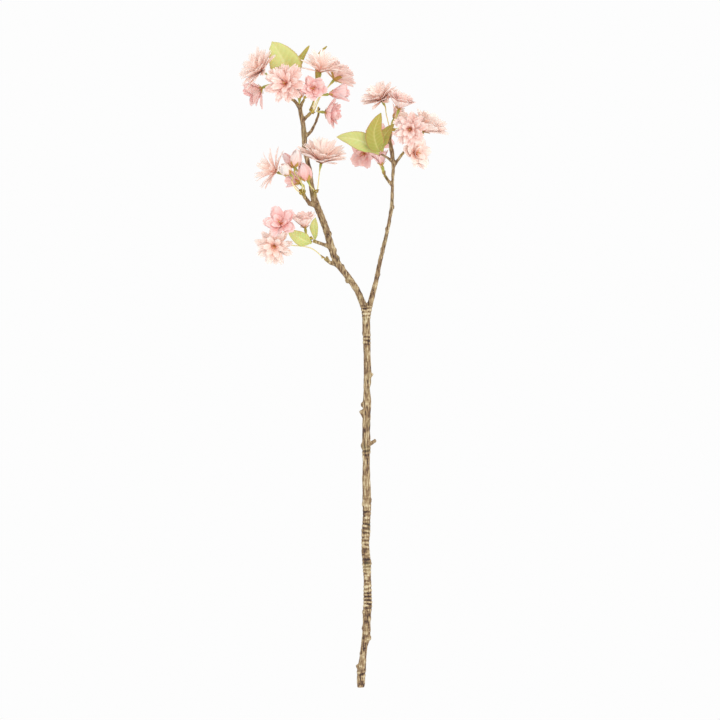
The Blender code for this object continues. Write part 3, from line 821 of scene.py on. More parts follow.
@dataclass
class Blossom:
    """An open flower: petals in whorls, sepals, stamens, pistil, and its stalk."""

    name: str
    habit: Habit
    tone: Tone
    seed: int
    sepal_length: float = 7.5 * MM
    cup_length: float = 7.0 * MM
    stamens: int = 16

    def frame(self) -> FlowerFrame:
        """Return the flower's frame as its CAD nodes give it."""
        return FlowerFrame.from_nodes(self.name + "_petals", self.name + "_calyx")

    def build(self) -> None:
        """Build and dress every piece of the flower."""
        place = self.frame()
        draw = np.random.default_rng(self.seed)
        self.build_petals(place, draw)
        self.build_sepals(place, draw)
        self.build_heart(place)
        self.build_stalk(place)

    def build_petals(self, place: FlowerFrame, draw: np.random.Generator) -> None:
        """Set the petals in their whorls, each a thin shell of its own.

        Args:
            place: the flower's frame.
            draw: the flower's random numbers.
        """
        cut, whorls = self.habit.value
        shells = Shells()
        turn = draw.uniform(0.0, 6.28)
        for order, whorl in enumerate(whorls):
            turn += math.pi / whorl.petals + 0.4
            for number in range(whorl.petals):
                azimuth = turn + 2.0 * math.pi * number / whorl.petals + draw.normal(0.0, 0.1)
                opening = place.spread * whorl.opening * draw.uniform(0.88, 1.1)
                opening = min(opening, math.radians(100.0))
                length = place.reach * 1.05 * whorl.length * draw.uniform(0.9, 1.04)
                middle = petal_surface(place, cut, length, opening, azimuth, draw)
                shells.add(middle, cut.thickness, draw.uniform(0.0, 1.0))
        piece = shells.to_object(self.name + "_corolla", [self.tone.value])
        register(piece, "petal", self.name + "_petals")

    def build_sepals(self, place: FlowerFrame, draw: np.random.Generator) -> None:
        """Set five narrow sepals behind the petals.

        Args:
            place: the flower's frame.
            draw: the flower's random numbers.
        """
        cut, whorls = Habit.SEPALS.value
        opening = place.spread + math.radians(12.0)
        shells = Shells()
        root = FlowerFrame(place.base - place.axis * 0.8 * MM, place.axis, place.reach, place.spread)
        for number in range(whorls[0].petals):
            azimuth = 2.0 * math.pi * (number + draw.uniform(-0.1, 0.1)) / whorls[0].petals
            length = self.sepal_length * draw.uniform(0.85, 1.1)
            middle = petal_surface(root, cut, length, min(opening, math.radians(118.0)), azimuth,
                                   draw)
            shells.add(middle, cut.thickness, draw.uniform(0.0, 1.0))
        piece = shells.to_object(self.name + "_sepals", [SEPAL])
        register(piece, "calyx")

    def build_heart(self, place: FlowerFrame) -> None:
        """Grow the stamens and the pistil from the flower's throat.

        Args:
            place: the flower's frame.
        """
        length = place.reach * 0.42
        tuft = StamenTuft(self.stamens, length, place.spread * 0.75, self.seed).mesh()
        for mesh, part in ((tuft, "_stamens"), (Pistil(length).mesh(), "_pistil")):
            mesh.transform(place.matrix())
            lift_off_table(mesh)
            register(put_in_scene(mesh, self.name + part), "calyx")

    def build_stalk(self, place: FlowerFrame) -> None:
        """Round the CAD stalk and cup, and grade its colour towards the flower.

        Args:
            place: the flower's frame.
        """
        shape = merged_copy(self.name + "_calyx")
        mesh = rounded(shape, self.name + "_stalk")
        grade_towards(mesh, place.base, self.cup_length)
        mesh.materials.append(finish_of(STALK))
        register(put_in_scene(mesh, self.name + "_stalk"), "calyx", self.name + "_calyx")


def rounded(shape: bmesh.types.BMesh, name: str) -> bpy.types.Mesh:
    """Return a welded CAD shape as a smooth mesh, with two levels of subdivision.

    Args:
        shape: a welded CAD shape, which is freed.
        name: the mesh's name.

    Returns:
        The smooth mesh.
    """
    mesh = bpy.data.meshes.new(name)
    shape.to_mesh(mesh)
    shape.free()
    item = put_in_scene(mesh, name)
    smooth = item.modifiers.new("round", "SUBSURF")
    smooth.levels = 2
    smooth.render_levels = 2
    return applied(item)


def grade_towards(mesh: bpy.types.Mesh, base: Vector, length: float) -> None:
    """Store on each vertex how near it is to a flower's base: one there, nothing two cups away."""
    near = [max(0.0, 1.0 - (vertex.co - base).length / (2.0 * length)) for vertex in mesh.vertices]
    set_values(mesh, "near", np.array(near))


def lift_off_table(mesh: bpy.types.Mesh) -> None:
    """Bend a mesh's low points so that they lie on the table."""
    points = np.zeros(len(mesh.vertices) * 3)
    mesh.vertices.foreach_get("co", points)
    mesh.vertices.foreach_set("co", kept_above_table(points.reshape(-1, 3)).reshape(-1))


def sort_by_place(items: bmesh.types.BMVertSeq | bmesh.types.BMEdgeSeq | bmesh.types.BMFaceSeq,
                  place_of: Callable[..., Vector]) -> None:
    """Sort a mesh's points, edges or faces by their places, so that each run gives one order.

    Args:
        items: the points, edges or faces, which are sorted in place.
        place_of: gives the place of one of them.
    """
    ordered = sorted(items, key=lambda item: tuple(round(x / ORDER_STEP) for x in place_of(item)))
    rank = {item: number for number, item in enumerate(ordered)}
    items.sort(key=rank.get)
    items.index_update()


@dataclass
class Pistil:
    """A slender style with its round stigma, made along +Z."""

    length: float
    radius: float = 0.22 * MM

    def mesh(self) -> bpy.types.Mesh:
        """Build the style and the stigma.

        Returns:
            One mesh, with its foot on the origin.
        """
        half_way = Matrix.Translation((0.0, 0.0, self.length / 2.0))
        top = Matrix.Translation((0.0, 0.0, self.length))
        shape = bmesh.new()
        bmesh.ops.create_cone(shape, cap_ends=True, segments=8, radius1=1.6 * self.radius,
                              radius2=self.radius, depth=self.length, matrix=half_way)
        bmesh.ops.create_uvsphere(shape, u_segments=10, v_segments=6, radius=2.6 * self.radius,
                                  matrix=top)
        sort_by_place(shape.verts, lambda vertex: vertex.co)
        sort_by_place(shape.edges, lambda edge: edge.verts[0].co + edge.verts[1].co)
        sort_by_place(shape.faces, lambda face: face.calc_center_median())
        mesh = bpy.data.meshes.new("pistil")
        shape.to_mesh(mesh)
        shape.free()
        mesh.materials.append(finish_of(PISTIL))
        return mesh


@dataclass
class StamenTuft:
    """Filaments that spread from a flower's throat, each with its anther, made along +Z."""

    count: int
    length: float
    spread: float
    seed: int
    filament_radius: float = 0.16 * MM
    anther_radius: float = 0.5 * MM

    def tree(self) -> bpy.types.NodeTree:
        """Build the geometry tree, with its sizes as named inputs.

        Returns:
            The tree, which every tuft shares.
        """
        tree = bpy.data.node_groups.new("stamen_tuft", "GeometryNodeTree")
        sockets = tree.interface
        for label, kind in (("Count", "NodeSocketInt"), ("Length", "NodeSocketFloat"),
                            ("Spread", "NodeSocketFloat"), ("Seed", "NodeSocketInt"),
                            ("Filament Radius", "NodeSocketFloat"),
                            ("Anther Radius", "NodeSocketFloat")):
            sockets.new_socket(label, in_out="INPUT", socket_type=kind)
        sockets.new_socket("Geometry", in_out="OUTPUT", socket_type="NodeSocketGeometry")
        given = add_node(tree, "NodeGroupInput").outputs
        points = add_node(tree, "GeometryNodePoints", None, None, {"Count": given["Count"]})
        rod = add_node(tree, "GeometryNodeMeshCylinder", None, {"Vertices": 5},
                       {"Radius": given["Filament Radius"], "Depth": given["Length"]})
        half = add_node(tree, "ShaderNodeMath", {"operation": "MULTIPLY"}, {1: 0.5},
                        {0: given["Length"]})
        up_half = add_node(tree, "ShaderNodeCombineXYZ", None, None, {"Z": half.outputs[0]})
        stood = add_node(tree, "GeometryNodeTransform", None, None,
                         {"Geometry": rod.outputs["Mesh"], "Translation": up_half.outputs[0]})
        ball = add_node(tree, "GeometryNodeMeshIcoSphere", None, {"Subdivisions": 2},
                        {"Radius": given["Anther Radius"]})
        up_full = add_node(tree, "ShaderNodeCombineXYZ", None, None, {"Z": given["Length"]})
        raised = add_node(tree, "GeometryNodeTransform", None, {"Scale": (1.0, 0.7, 1.3)},
                          {"Geometry": ball.outputs["Mesh"], "Translation": up_full.outputs[0]})
        pollen = add_node(tree, "GeometryNodeStoreNamedAttribute",
                          {"data_type": "BOOLEAN", "domain": "FACE"},
                          {"Name": "anther", "Value": True}, {"Geometry": raised.outputs[0]})
        stamen = add_node(tree, "GeometryNodeJoinGeometry")
        tree.links.new(stood.outputs[0], stamen.inputs[0])
        tree.links.new(pollen.outputs[0], stamen.inputs[0])
        tilt = add_node(tree, "FunctionNodeRandomValue", {"data_type": "FLOAT"}, None,
                        {3: given["Spread"], "Seed": given["Seed"]})
        spin_seed = add_node(tree, "ShaderNodeMath", {"operation": "ADD"}, {1: 7.0},
                             {0: given["Seed"]})
        spin = add_node(tree, "FunctionNodeRandomValue", {"data_type": "FLOAT"},
                        {3: 2.0 * math.pi}, {"Seed": spin_seed.outputs[0]})
        size_seed = add_node(tree, "ShaderNodeMath", {"operation": "ADD"}, {1: 13.0},
                             {0: given["Seed"]})
        size = add_node(tree, "FunctionNodeRandomValue", {"data_type": "FLOAT"},
                        {2: 0.65, 3: 1.0}, {"Seed": size_seed.outputs[0]})
        turned = add_node(tree, "ShaderNodeCombineXYZ", None, None,
                          {"X": tilt.outputs[1], "Z": spin.outputs[1]})
        placed = add_node(tree, "GeometryNodeInstanceOnPoints", None, None,
                          {"Points": points.outputs[0], "Instance": stamen.outputs[0],
                           "Rotation": turned.outputs[0], "Scale": size.outputs[1]})
        real = add_node(tree, "GeometryNodeRealizeInstances", None, None,
                        {"Geometry": placed.outputs[0]})
        threads = add_node(tree, "GeometryNodeSetMaterial", None,
                           {"Material": finish_of(FILAMENT)}, {"Geometry": real.outputs[0]})
        is_anther = add_node(tree, "GeometryNodeInputNamedAttribute", {"data_type": "BOOLEAN"},
                             {"Name": "anther"})
        dressed = add_node(tree, "GeometryNodeSetMaterial", None, {"Material": finish_of(ANTHER)},
                           {"Geometry": threads.outputs[0], "Selection": is_anther.outputs[0]})
        add_node(tree, "NodeGroupOutput", None, None, {0: dressed.outputs[0]})
        return tree

    def mesh(self) -> bpy.types.Mesh:
        """Return the tuft as a plain mesh.

        Returns:
            The stamens, with their feet on the origin.
        """
        tree = bpy.data.node_groups.get("stamen_tuft") or self.tree()
        holder = put_in_scene(bpy.data.meshes.new("tuft"), "tuft")
        growth = holder.modifiers.new("tuft", "NODES")
        growth.node_group = tree
        sizes = {"Count": self.count, "Length": self.length, "Spread": self.spread,
                 "Seed": self.seed, "Filament Radius": self.filament_radius,
                 "Anther Radius": self.anther_radius}
        for item in tree.interface.items_tree:
            if item.name in sizes:
                growth[item.identifier] = sizes[item.name]
        return applied(holder)


# --------------------------------------------------------------------------- buds


@dataclass
class Bud:
    """A closed flower: petals wrapped round one another above a green cup on its stalk."""

    name: str
    tone: Tone
    seed: int
    petals: int = 6
    loose: int = 0
    cup_length: float = 7.0 * MM
    petal_thickness: float = 0.9 * MM
    petal_inset: float = 0.92
    core_share: float = 0.93

    def line(self) -> tuple[Vector, Vector, float, float]:
        """Return the base and axis of the closed petals, their length and largest radius.

        Returns:
            The base, the axis, the length and the radius.
        """
        rings = rows_of(self.name, 8)
        centres = rings.mean(axis=1)
        radii = np.linalg.norm(rings - centres[:, None], axis=2).mean(axis=1)
        widest = int(np.argmax(radii))
        foot = widest
        while radii[foot] > 2.4 * MM:
            foot -= 1
        axis = Vector(centres[-1] - centres[foot])
        return Vector(centres[foot]), axis.normalized(), axis.length, float(radii[widest])

    def build(self) -> None:
        """Build and dress the bud."""
        base, axis, length, radius = self.line()
        draw = np.random.default_rng(self.seed)
        self.build_petals(base, axis, length, radius, draw)
        self.build_stalk(base, axis, length)
        self.build_sepals(base, axis, length, radius, draw)

    def build_petals(self, base: Vector, axis: Vector, length: float, radius: float,
                     draw: np.random.Generator) -> None:
        """Wrap the petals round the bud, each over the edge of the one before.

        Args:
            base: where the closed petals start.
            axis: the way that they point.
            length: from base to tip.
            radius: their largest radius.
            draw: the bud's random numbers.
        """
        place = FlowerFrame(base, axis, length, radius)
        shells = Shells()
        for number in range(self.petals):
            azimuth = 4.0 * math.pi * number / self.petals + draw.uniform(-0.2, 0.2)
            inset = self.petal_inset - 0.05 * number / self.petals
            middle = wrapped_patch(place, azimuth, (1.2, 0.8), (0.02, draw.uniform(0.94, 1.02)),
                                   inset, 0.25 * MM, draw.uniform(0.2, 0.7))
            shells.add(middle, self.petal_thickness, draw.uniform(0.0, 1.0))
        cut = Habit.CUP.value[0]
        for number in range(self.loose):
            azimuth = 2.0 * math.pi * number / self.loose
            middle = petal_surface(place, cut, length * 1.3, math.radians(48.0), azimuth, draw)
            shells.add(middle, cut.thickness, draw.uniform(0.0, 1.0))
        register(shells.to_object(self.name + "_petals", [self.tone.value]), "petal")

    def build_stalk(self, base: Vector, axis: Vector, length: float) -> None:
        """Round the CAD bud and draw its petal part in, to be the core inside the petals.

        Args:
            base: where the closed petals start.
            axis: the way that they point.
            length: from base to tip.
        """
        shape = merged_copy(self.name)
        for vertex in shape.verts:
            height = (vertex.co - base).dot(axis)
            if height > 0.0 and (vertex.co - base).length < 1.3 * length:
                middle = base + axis * height
                vertex.co = middle + (vertex.co - middle) * self.core_share - axis * 0.06 * height
        mesh = rounded(shape, self.name + "_stalk")
        grade_towards(mesh, base, self.cup_length)
        mesh.materials.append(finish_of(STALK))
        mesh.materials.append(finish_of(self.tone.value))
        for face in mesh.polygons:
            height = (face.center - base).dot(axis)
            inside = 0.5 * MM < height and (face.center - base).length < 1.3 * length
            face.material_index = int(inside)
        register(put_in_scene(mesh, self.name + "_stalk"), "calyx", self.name)

    def build_sepals(self, base: Vector, axis: Vector, length: float, radius: float,
                     draw: np.random.Generator) -> None:
        """Lay five small sepals against the closed petals.

        Args:
            base: where the closed petals start.
            axis: the way that they point.
            length: from base to tip.
            radius: their largest radius.
            draw: the bud's random numbers.
        """
        place = FlowerFrame(base, axis, length, radius)
        shells = Shells()
        for number in range(5):
            azimuth = 2.0 * math.pi * (number + draw.uniform(-0.12, 0.12)) / 5.0
            middle = wrapped_patch(place, azimuth, (0.42, 0.02), (-0.04, draw.uniform(0.3, 0.42)),
                                   1.06, 0.2 * MM, 0.1)
            shells.add(middle, 0.3 * MM, draw.uniform(0.0, 1.0))
        register(shells.to_object(self.name + "_sepals", [SEPAL]), "calyx")


@dataclass
class ScaleCuff:
    """Papery bud scales left around the feet of the stalks that came out of one bud."""

    name: str
    stalks: tuple[str, ...]
    seed: int
    scales: int = 4
    length: float = 5.5 * MM
    opening_degrees: float = 14.0

    def build(self) -> None:
        """Stand the scales around each stalk's foot."""
        cut = PetalCut(0.52, 0.7, 0.4, 0.0, 0.2, 0.6, 9.0, 0.015, 0.25, 0.3 * MM, 8, 5)
        draw = np.random.default_rng(self.seed)
        shells = Shells()
        for stalk in self.stalks:
            place = self.foot(stalk)
            turn = draw.uniform(0.0, 6.28)
            for number in range(self.scales):
                azimuth = turn + 2.0 * math.pi * number / self.scales + draw.uniform(-0.2, 0.2)
                length = self.length * draw.uniform(0.6, 1.1)
                opening = math.radians(self.opening_degrees) * draw.uniform(0.6, 1.8)
                middle = petal_surface(place, cut, length, opening, azimuth, draw)
                middle = middle + 0.5 * MM * place.turned(azimuth)[0]
                shells.add(middle, cut.thickness, draw.uniform(0.0, 1.0), int(draw.integers(2)))
        register(shells.to_object(self.name, [SCALE, YOUNG_SCALE]), "calyx")

    def foot(self, stalk: str) -> FlowerFrame:
        """Return where a stalk leaves the wood and the way that it sets out.

        Args:
            stalk: the CAD node that holds the stalk.

        Returns:
            A frame at the stalk's foot, with its axis along the stalk.
        """
        points = node_points(stalk)
        gaps = [BRANCH_TREE.find(Vector(point))[2] for point in points]
        start = points[int(np.argmin(gaps))]
        near = points[np.linalg.norm(points - start, axis=1) < 9.0 * MM]
        axis = Vector(near.mean(axis=0) - start).normalized()
        return FlowerFrame(Vector(start) - axis * 0.8 * MM, axis, self.length, 0.3)


def wrapped_patch(place: FlowerFrame, azimuth: float, widths: tuple[float, float],
                  stretch: tuple[float, float], inset: float, overlap: float,
                  skew: float) -> np.ndarray:
    """Return a petal or sepal that is wrapped round a bud.

    Args:
        place: the bud's base, axis and length, and its radius in the place of its spread.
        azimuth: the middle of the patch around the bud.
        widths: half-widths as angles, at the patch's foot and at its end.
        stretch: where along the bud it starts and ends, as shares of its length.
        inset: its radius as a share of the bud's.
        overlap: how much farther out its later edge lies.
        skew: how far it winds round the bud, as an angle.

    Returns:
        Points, rows along the patch by columns across it.
    """
    share = np.linspace(0.0, 1.0, 14)[:, None]
    across = np.linspace(-1.0, 1.0, 11)[None, :]
    run = stretch[0] + (stretch[1] - stretch[0]) * share * (1.0 - 0.12 * np.abs(across) ** 2.4)
    half_angle = widths[0] + (widths[1] - widths[0]) * share ** 1.6
    angle = azimuth + across * half_angle + skew * share
    inside = np.clip(run, 0.0, 1.0)
    swell = np.sin(math.pi * np.clip(0.1 + 0.9 * inside ** 0.85, 0.0, 0.985)) ** 0.52
    reach = swell * place.spread * inset + overlap * (0.5 + 0.5 * across)
    outward, side = place.turned(0.0)
    middle = (np.array(place.base) + (run * place.reach)[..., None] * np.array(place.axis)
              + (reach * np.cos(angle))[..., None] * outward
              + (reach * np.sin(angle))[..., None] * side)
    return kept_above_table(middle)


# --------------------------------------------------------------------------- leaves


@dataclass
class Leaf:
    """A young leaf: toothed blade with raised veins on its own petiole."""

    name: str
    finish: LeafFinish
    fullness: float = 1.0
    curl: float = 0.15
    teeth: int = 12
    rows: int = 69
    columns: int = 17
    thickness: float = 0.35 * MM
    tooth_depth: float = 0.05
    vein_slant: float = 1.6
    vein_width: float = 0.16
    midrib_width: float = 0.09
    vein_depth: float = 0.12 * MM
    ripple: float = 0.35 * MM

    def line(self) -> tuple[np.ndarray, np.ndarray, np.ndarray, np.ndarray]:
        """Return the leaf's midrib, sideways directions, normals and half-widths.

        Returns:
            Four rows-long arrays, from the petiole's foot to the leaf's tip.
        """
        rows = rows_of(self.name, 10)
        middles = rows.mean(axis=1)
        reach = rows - middles[:, None]
        ends = rows[np.arange(len(rows)), np.argmax(np.linalg.norm(reach, axis=2), axis=1)]
        sides = ends - middles
        for row in range(1, len(sides)):
            if sides[row] @ sides[row - 1] < 0.0:
                sides[row] = -sides[row]
        half = np.linalg.norm(sides, axis=1)
        travelled = np.concatenate([[0.0], np.cumsum(np.linalg.norm(np.diff(middles, axis=0),
                                                                    axis=1))])
        share = np.linspace(0.0, travelled[-1], self.rows)
        line = smoothed(resampled(share, travelled, middles), 10)
        spread = smoothed(resampled(share, travelled, sides / half[:, None]), 10)
        width = smoothed(resampled(share, travelled, half[:, None]), 5)[:, 0]
        run = np.gradient(line, axis=0)
        run /= np.linalg.norm(run, axis=1, keepdims=True)
        spread -= run * (run * spread).sum(axis=1, keepdims=True)
        spread /= np.linalg.norm(spread, axis=1, keepdims=True)
        return line, spread, np.cross(spread, run), width

    def build(self) -> None:
        """Build and dress the leaf."""
        line, sides, normals, width = self.line()
        if normals[:, 2].mean() < 0.0:
            sides, normals = -sides, -normals
        share = np.linspace(0.0, 1.0, self.rows)[:, None]
        across = np.linspace(-1.0, 1.0, self.columns)[None, :]
        blade = np.clip((width[:, None] - 1.1 * MM) / (3.0 * MM), 0.0, 1.0)
        tooth = np.abs((share * self.teeth * 2.0) % 1.0 - 0.5) * 2.0
        filled = width[:, None] * (1.0 + blade * (self.fullness - 1.0))
        half = filled * (1.0 + blade * self.tooth_depth * (tooth - 0.5) * (np.abs(across) > 0.95))
        vein_run = share * self.teeth - np.abs(across) * self.vein_slant
        vein = np.exp(-((vein_run % 1.0 - 0.5) / self.vein_width) ** 2)
        vein = vein * (1.0 - 0.5 * np.abs(across)) * blade
        midrib = np.exp(-(across / self.midrib_width) ** 2) * np.ones_like(share)
        veins = np.clip(0.4 * vein + 0.8 * midrib, 0.0, 1.0)
        lift = (np.abs(across) ** 1.3 * 0.22 - across ** 4 * self.curl) * half
        lift = lift + (self.ripple * np.sin(share * 23.0 + across * 2.0) * across ** 2
                       - self.vein_depth * veins) * blade
        middle = (line[:, None] + (across * half)[..., None] * sides[:, None]
                  + lift[..., None] * normals[:, None])
        shells = Shells()
        shells.add(kept_above_table(middle), self.thickness, 0.5, 0, veins)
        register(shells.to_object(self.name + "_blade", [self.finish]), "leaf", self.name)


def resampled(places: np.ndarray, known: np.ndarray, rows: np.ndarray) -> np.ndarray:
    """Return rows of numbers read off at new places along the known ones."""
    return np.stack([np.interp(places, known, rows[:, axis]) for axis in range(rows.shape[1])],
                    axis=1)


def smoothed(rows: np.ndarray, rounds: int) -> np.ndarray:
    """Return rows of numbers with each one drawn towards its neighbours, ends kept."""
    for _ in range(rounds):
        rows = np.concatenate([rows[:1], (rows[:-2] + 2.0 * rows[1:-1] + rows[2:]) / 4.0, rows[-1:]])
    return rows


# --------------------------------------------------------------------------- branch


@dataclass(frozen=True)
class RingZone:
    """A stretch of bark with raised rings, measured from the cut end."""

    start: float
    end: float
    spacing: float
    height: float


@dataclass
class WoodyBranch:
    """Stem, arms and twigs, with ringed and wrinkled bark and its corky pores."""

    zones: tuple[RingZone, ...] = (
        RingZone(14.0 * MM, 16.5 * MM, 6.0 * MM, 0.4 * MM),
        RingZone(89.5 * MM, 116.5 * MM, 4.6 * MM, 0.36 * MM),
        RingZone(128.0 * MM, 150.5 * MM, 4.4 * MM, 0.22 * MM),
        RingZone(158.0 * MM, 188.0 * MM, 4.7 * MM, 0.28 * MM),
        RingZone(192.0 * MM, 206.0 * MM, 5.2 * MM, 0.2 * MM),
        RingZone(262.0 * MM, 272.0 * MM, 4.6 * MM, 0.25 * MM),
        RingZone(390.0 * MM, 398.0 * MM, 4.0 * MM, 0.3 * MM),
        RingZone(420.0 * MM, 432.0 * MM, 4.0 * MM, 0.3 * MM),
    )
    smooth_from: float = 200.0 * MM
    smooth_over: float = 30.0 * MM
    ridge_heights: tuple[float, float] = (0.24 * MM, 0.5 * MM)
    wrinkle_heights: tuple[float, float] = (0.28 * MM, 0.1 * MM)
    lump_heights: tuple[float, float] = (0.45 * MM, 0.25 * MM)
    ring_wobble: float = 2.2 * MM
    ring_fade: float = 3.0 * MM
    crest_span: float = 1.1 * MM
    young_reach: float = 6.0 * MM
    pore_radius: float = 0.42 * MM
    voxel: float = 0.75 * MM
    pores: int = 900

    def build(self) -> None:
        """Build and dress the branch."""
        shape = merged_copy(BRANCH_NODE)
        mesh = bpy.data.meshes.new("woody_branch_bark")
        shape.to_mesh(mesh)
        shape.free()
        item = put_in_scene(mesh, "woody_branch_bark")
        fuse = item.modifiers.new("fuse", "REMESH")
        fuse.mode = "VOXEL"
        fuse.voxel_size = self.voxel
        relax = item.modifiers.new("relax", "SMOOTH")
        relax.iterations = 8
        relax.factor = 0.5
        mesh = applied(item)
        self.raise_bark(mesh)
        self.mark_young_wood(mesh)
        mesh.materials.append(finish_of(BARK))
        mesh.materials.append(finish_of(PITH))
        self.mark_cut_end(mesh)
        bark = put_in_scene(mesh, "woody_branch_bark")
        self.build_pores(mesh)
        register(bark, "bark", BRANCH_NODE)

    def raise_bark(self, mesh: bpy.types.Mesh) -> None:
        """Raise rings, ridges and wrinkles on the bark and store how high each point stands.

        Args:
            mesh: the branch's mesh, whose points are moved.
        """
        count = len(mesh.vertices)
        points = np.zeros(count * 3)
        normals = np.zeros(count * 3)
        mesh.vertices.foreach_get("co", points)
        mesh.vertex_normals.foreach_get("vector", normals)
        points, normals = points.reshape(-1, 3), normals.reshape(-1, 3)
        butt = CAD_BOX[0].y
        lift = np.zeros(count)
        for index, (place, normal) in enumerate(zip(points, normals)):
            spot = Vector(place)
            run = place[1] - butt
            wobble = noise.noise(spot * 90.0) * self.ring_wobble
            ridges = noise.noise(Vector((place[0] * 700.0, place[1] * 130.0, place[2] * 700.0)))
            wrinkles = noise.fractal(Vector((place[0] * 260.0, place[1] * 620.0, place[2] * 260.0)),
                                     1.0, 2.0, 3)
            lumps = noise.noise(spot * 160.0)
            upper = min(1.0, max(0.0, (run - self.smooth_from) / self.smooth_over))
            height = sum((low + (high - low) * upper) * relief for (low, high), relief in
                         ((self.ridge_heights, ridges), (self.wrinkle_heights, wrinkles),
                          (self.lump_heights, lumps)))
            for zone in self.zones:
                ends = min(run - zone.start, zone.end - run)
                fade = max(0.0, min(1.0, 1.0 + ends / self.ring_fade))
                if fade > 0.0:
                    phase = math.cos(FULL_TURN * (run + wobble) / zone.spacing)
                    height += fade * zone.height * phase * abs(phase) ** 0.3
            lift[index] = height * min(1.0, 0.3 + (1.0 - abs(normal[1])))
        mesh.vertices.foreach_set("co", (points + normals * lift[:, None]).reshape(-1))
        # The stored height paints shade into the bark's folds and a highlight onto its crests.
        set_values(mesh, "crest", np.clip(0.5 + lift / self.crest_span, 0.0, 1.0))
        mesh.update()

    def mark_young_wood(self, mesh: bpy.types.Mesh) -> None:
        """Store how near each point of the bark is to the foot of a flower stalk.

        Args:
            mesh: the branch's mesh.
        """
        feet = tree_of(np.array([rows_of(flower.name + "_calyx", 6)[0].mean(axis=0)
                                 for flower in BLOSSOMS]))
        young = [math.exp(-(feet.find(vertex.co)[2] / self.young_reach) ** 2)
                 for vertex in mesh.vertices]
        set_values(mesh, "young", np.array(young))

    @staticmethod
    def mark_cut_end(mesh: bpy.types.Mesh) -> None:
        """Give the sawn face at the stem's foot the bare wood's finish."""
        for face in mesh.polygons:
            at_end = face.center.y < CAD_BOX[0].y + 2.0 * MM
            face.material_index = 1 if at_end and face.normal.y < -0.75 else 0

    def build_pores(self, skin: bpy.types.Mesh) -> None:
        """Scatter corky pores over the bark, each longer across the branch than along it.

        Args:
            skin: the finished bark's mesh, for its area.
        """
        tree = bpy.data.node_groups.new("bark_pores", "GeometryNodeTree")
        for label, kind in (("Bark", "NodeSocketObject"), ("Density", "NodeSocketFloat"),
                            ("Radius", "NodeSocketFloat"), ("Seed", "NodeSocketInt")):
            tree.interface.new_socket(label, in_out="INPUT", socket_type=kind)
        tree.interface.new_socket("Geometry", in_out="OUTPUT", socket_type="NodeSocketGeometry")
        given = add_node(tree, "NodeGroupInput").outputs
        bark = add_node(tree, "GeometryNodeObjectInfo", None, None, {"Object": given["Bark"]})
        spread = add_node(tree, "GeometryNodeDistributePointsOnFaces", None, None,
                          {"Mesh": bark.outputs["Geometry"], "Density": given["Density"],
                           "Seed": given["Seed"]})
        ball = add_node(tree, "GeometryNodeMeshIcoSphere", None, {"Subdivisions": 2},
                        {"Radius": given["Radius"]})
        flat = add_node(tree, "GeometryNodeTransform", None, {"Scale": (1.9, 0.7, 0.45)},
                        {"Geometry": ball.outputs["Mesh"]})
        upright = add_node(tree, "FunctionNodeAlignRotationToVector", {"axis": "Z"}, None,
                           {"Vector": spread.outputs["Normal"]})
        across = add_node(tree, "FunctionNodeAlignRotationToVector",
                          {"axis": "Y", "pivot_axis": "Z"}, {"Vector": (0.0, 1.0, 0.0)},
                          {"Rotation": upright.outputs[0]})
        size = add_node(tree, "FunctionNodeRandomValue", {"data_type": "FLOAT"}, {2: 0.4, 3: 1.0},
                        {"Seed": given["Seed"]})
        placed = add_node(tree, "GeometryNodeInstanceOnPoints", None, None,
                          {"Points": spread.outputs["Points"], "Instance": flat.outputs[0],
                           "Rotation": across.outputs[0], "Scale": size.outputs[1]})
        real = add_node(tree, "GeometryNodeRealizeInstances", None, None,
                        {"Geometry": placed.outputs[0]})
        corky = add_node(tree, "GeometryNodeSetMaterial", None, {"Material": finish_of(LENTICEL)},
                         {"Geometry": real.outputs[0]})
        add_node(tree, "NodeGroupOutput", None, None, {0: corky.outputs[0]})
        area = sum(face.area for face in skin.polygons)
        holder = put_in_scene(bpy.data.meshes.new("pores"), "pores")
        growth = holder.modifiers.new("pores", "NODES")
        growth.node_group = tree
        sizes = {"Bark": bpy.data.objects["woody_branch_bark"], "Density": self.pores / area,
                 "Radius": self.pore_radius, "Seed": 5}
        for item in tree.interface.items_tree:
            if item.name in sizes:
                growth[item.identifier] = sizes[item.name]
        register(put_in_scene(applied(holder), "woody_branch_pores"), "bark")


# --------------------------------------------------------------------------- studio


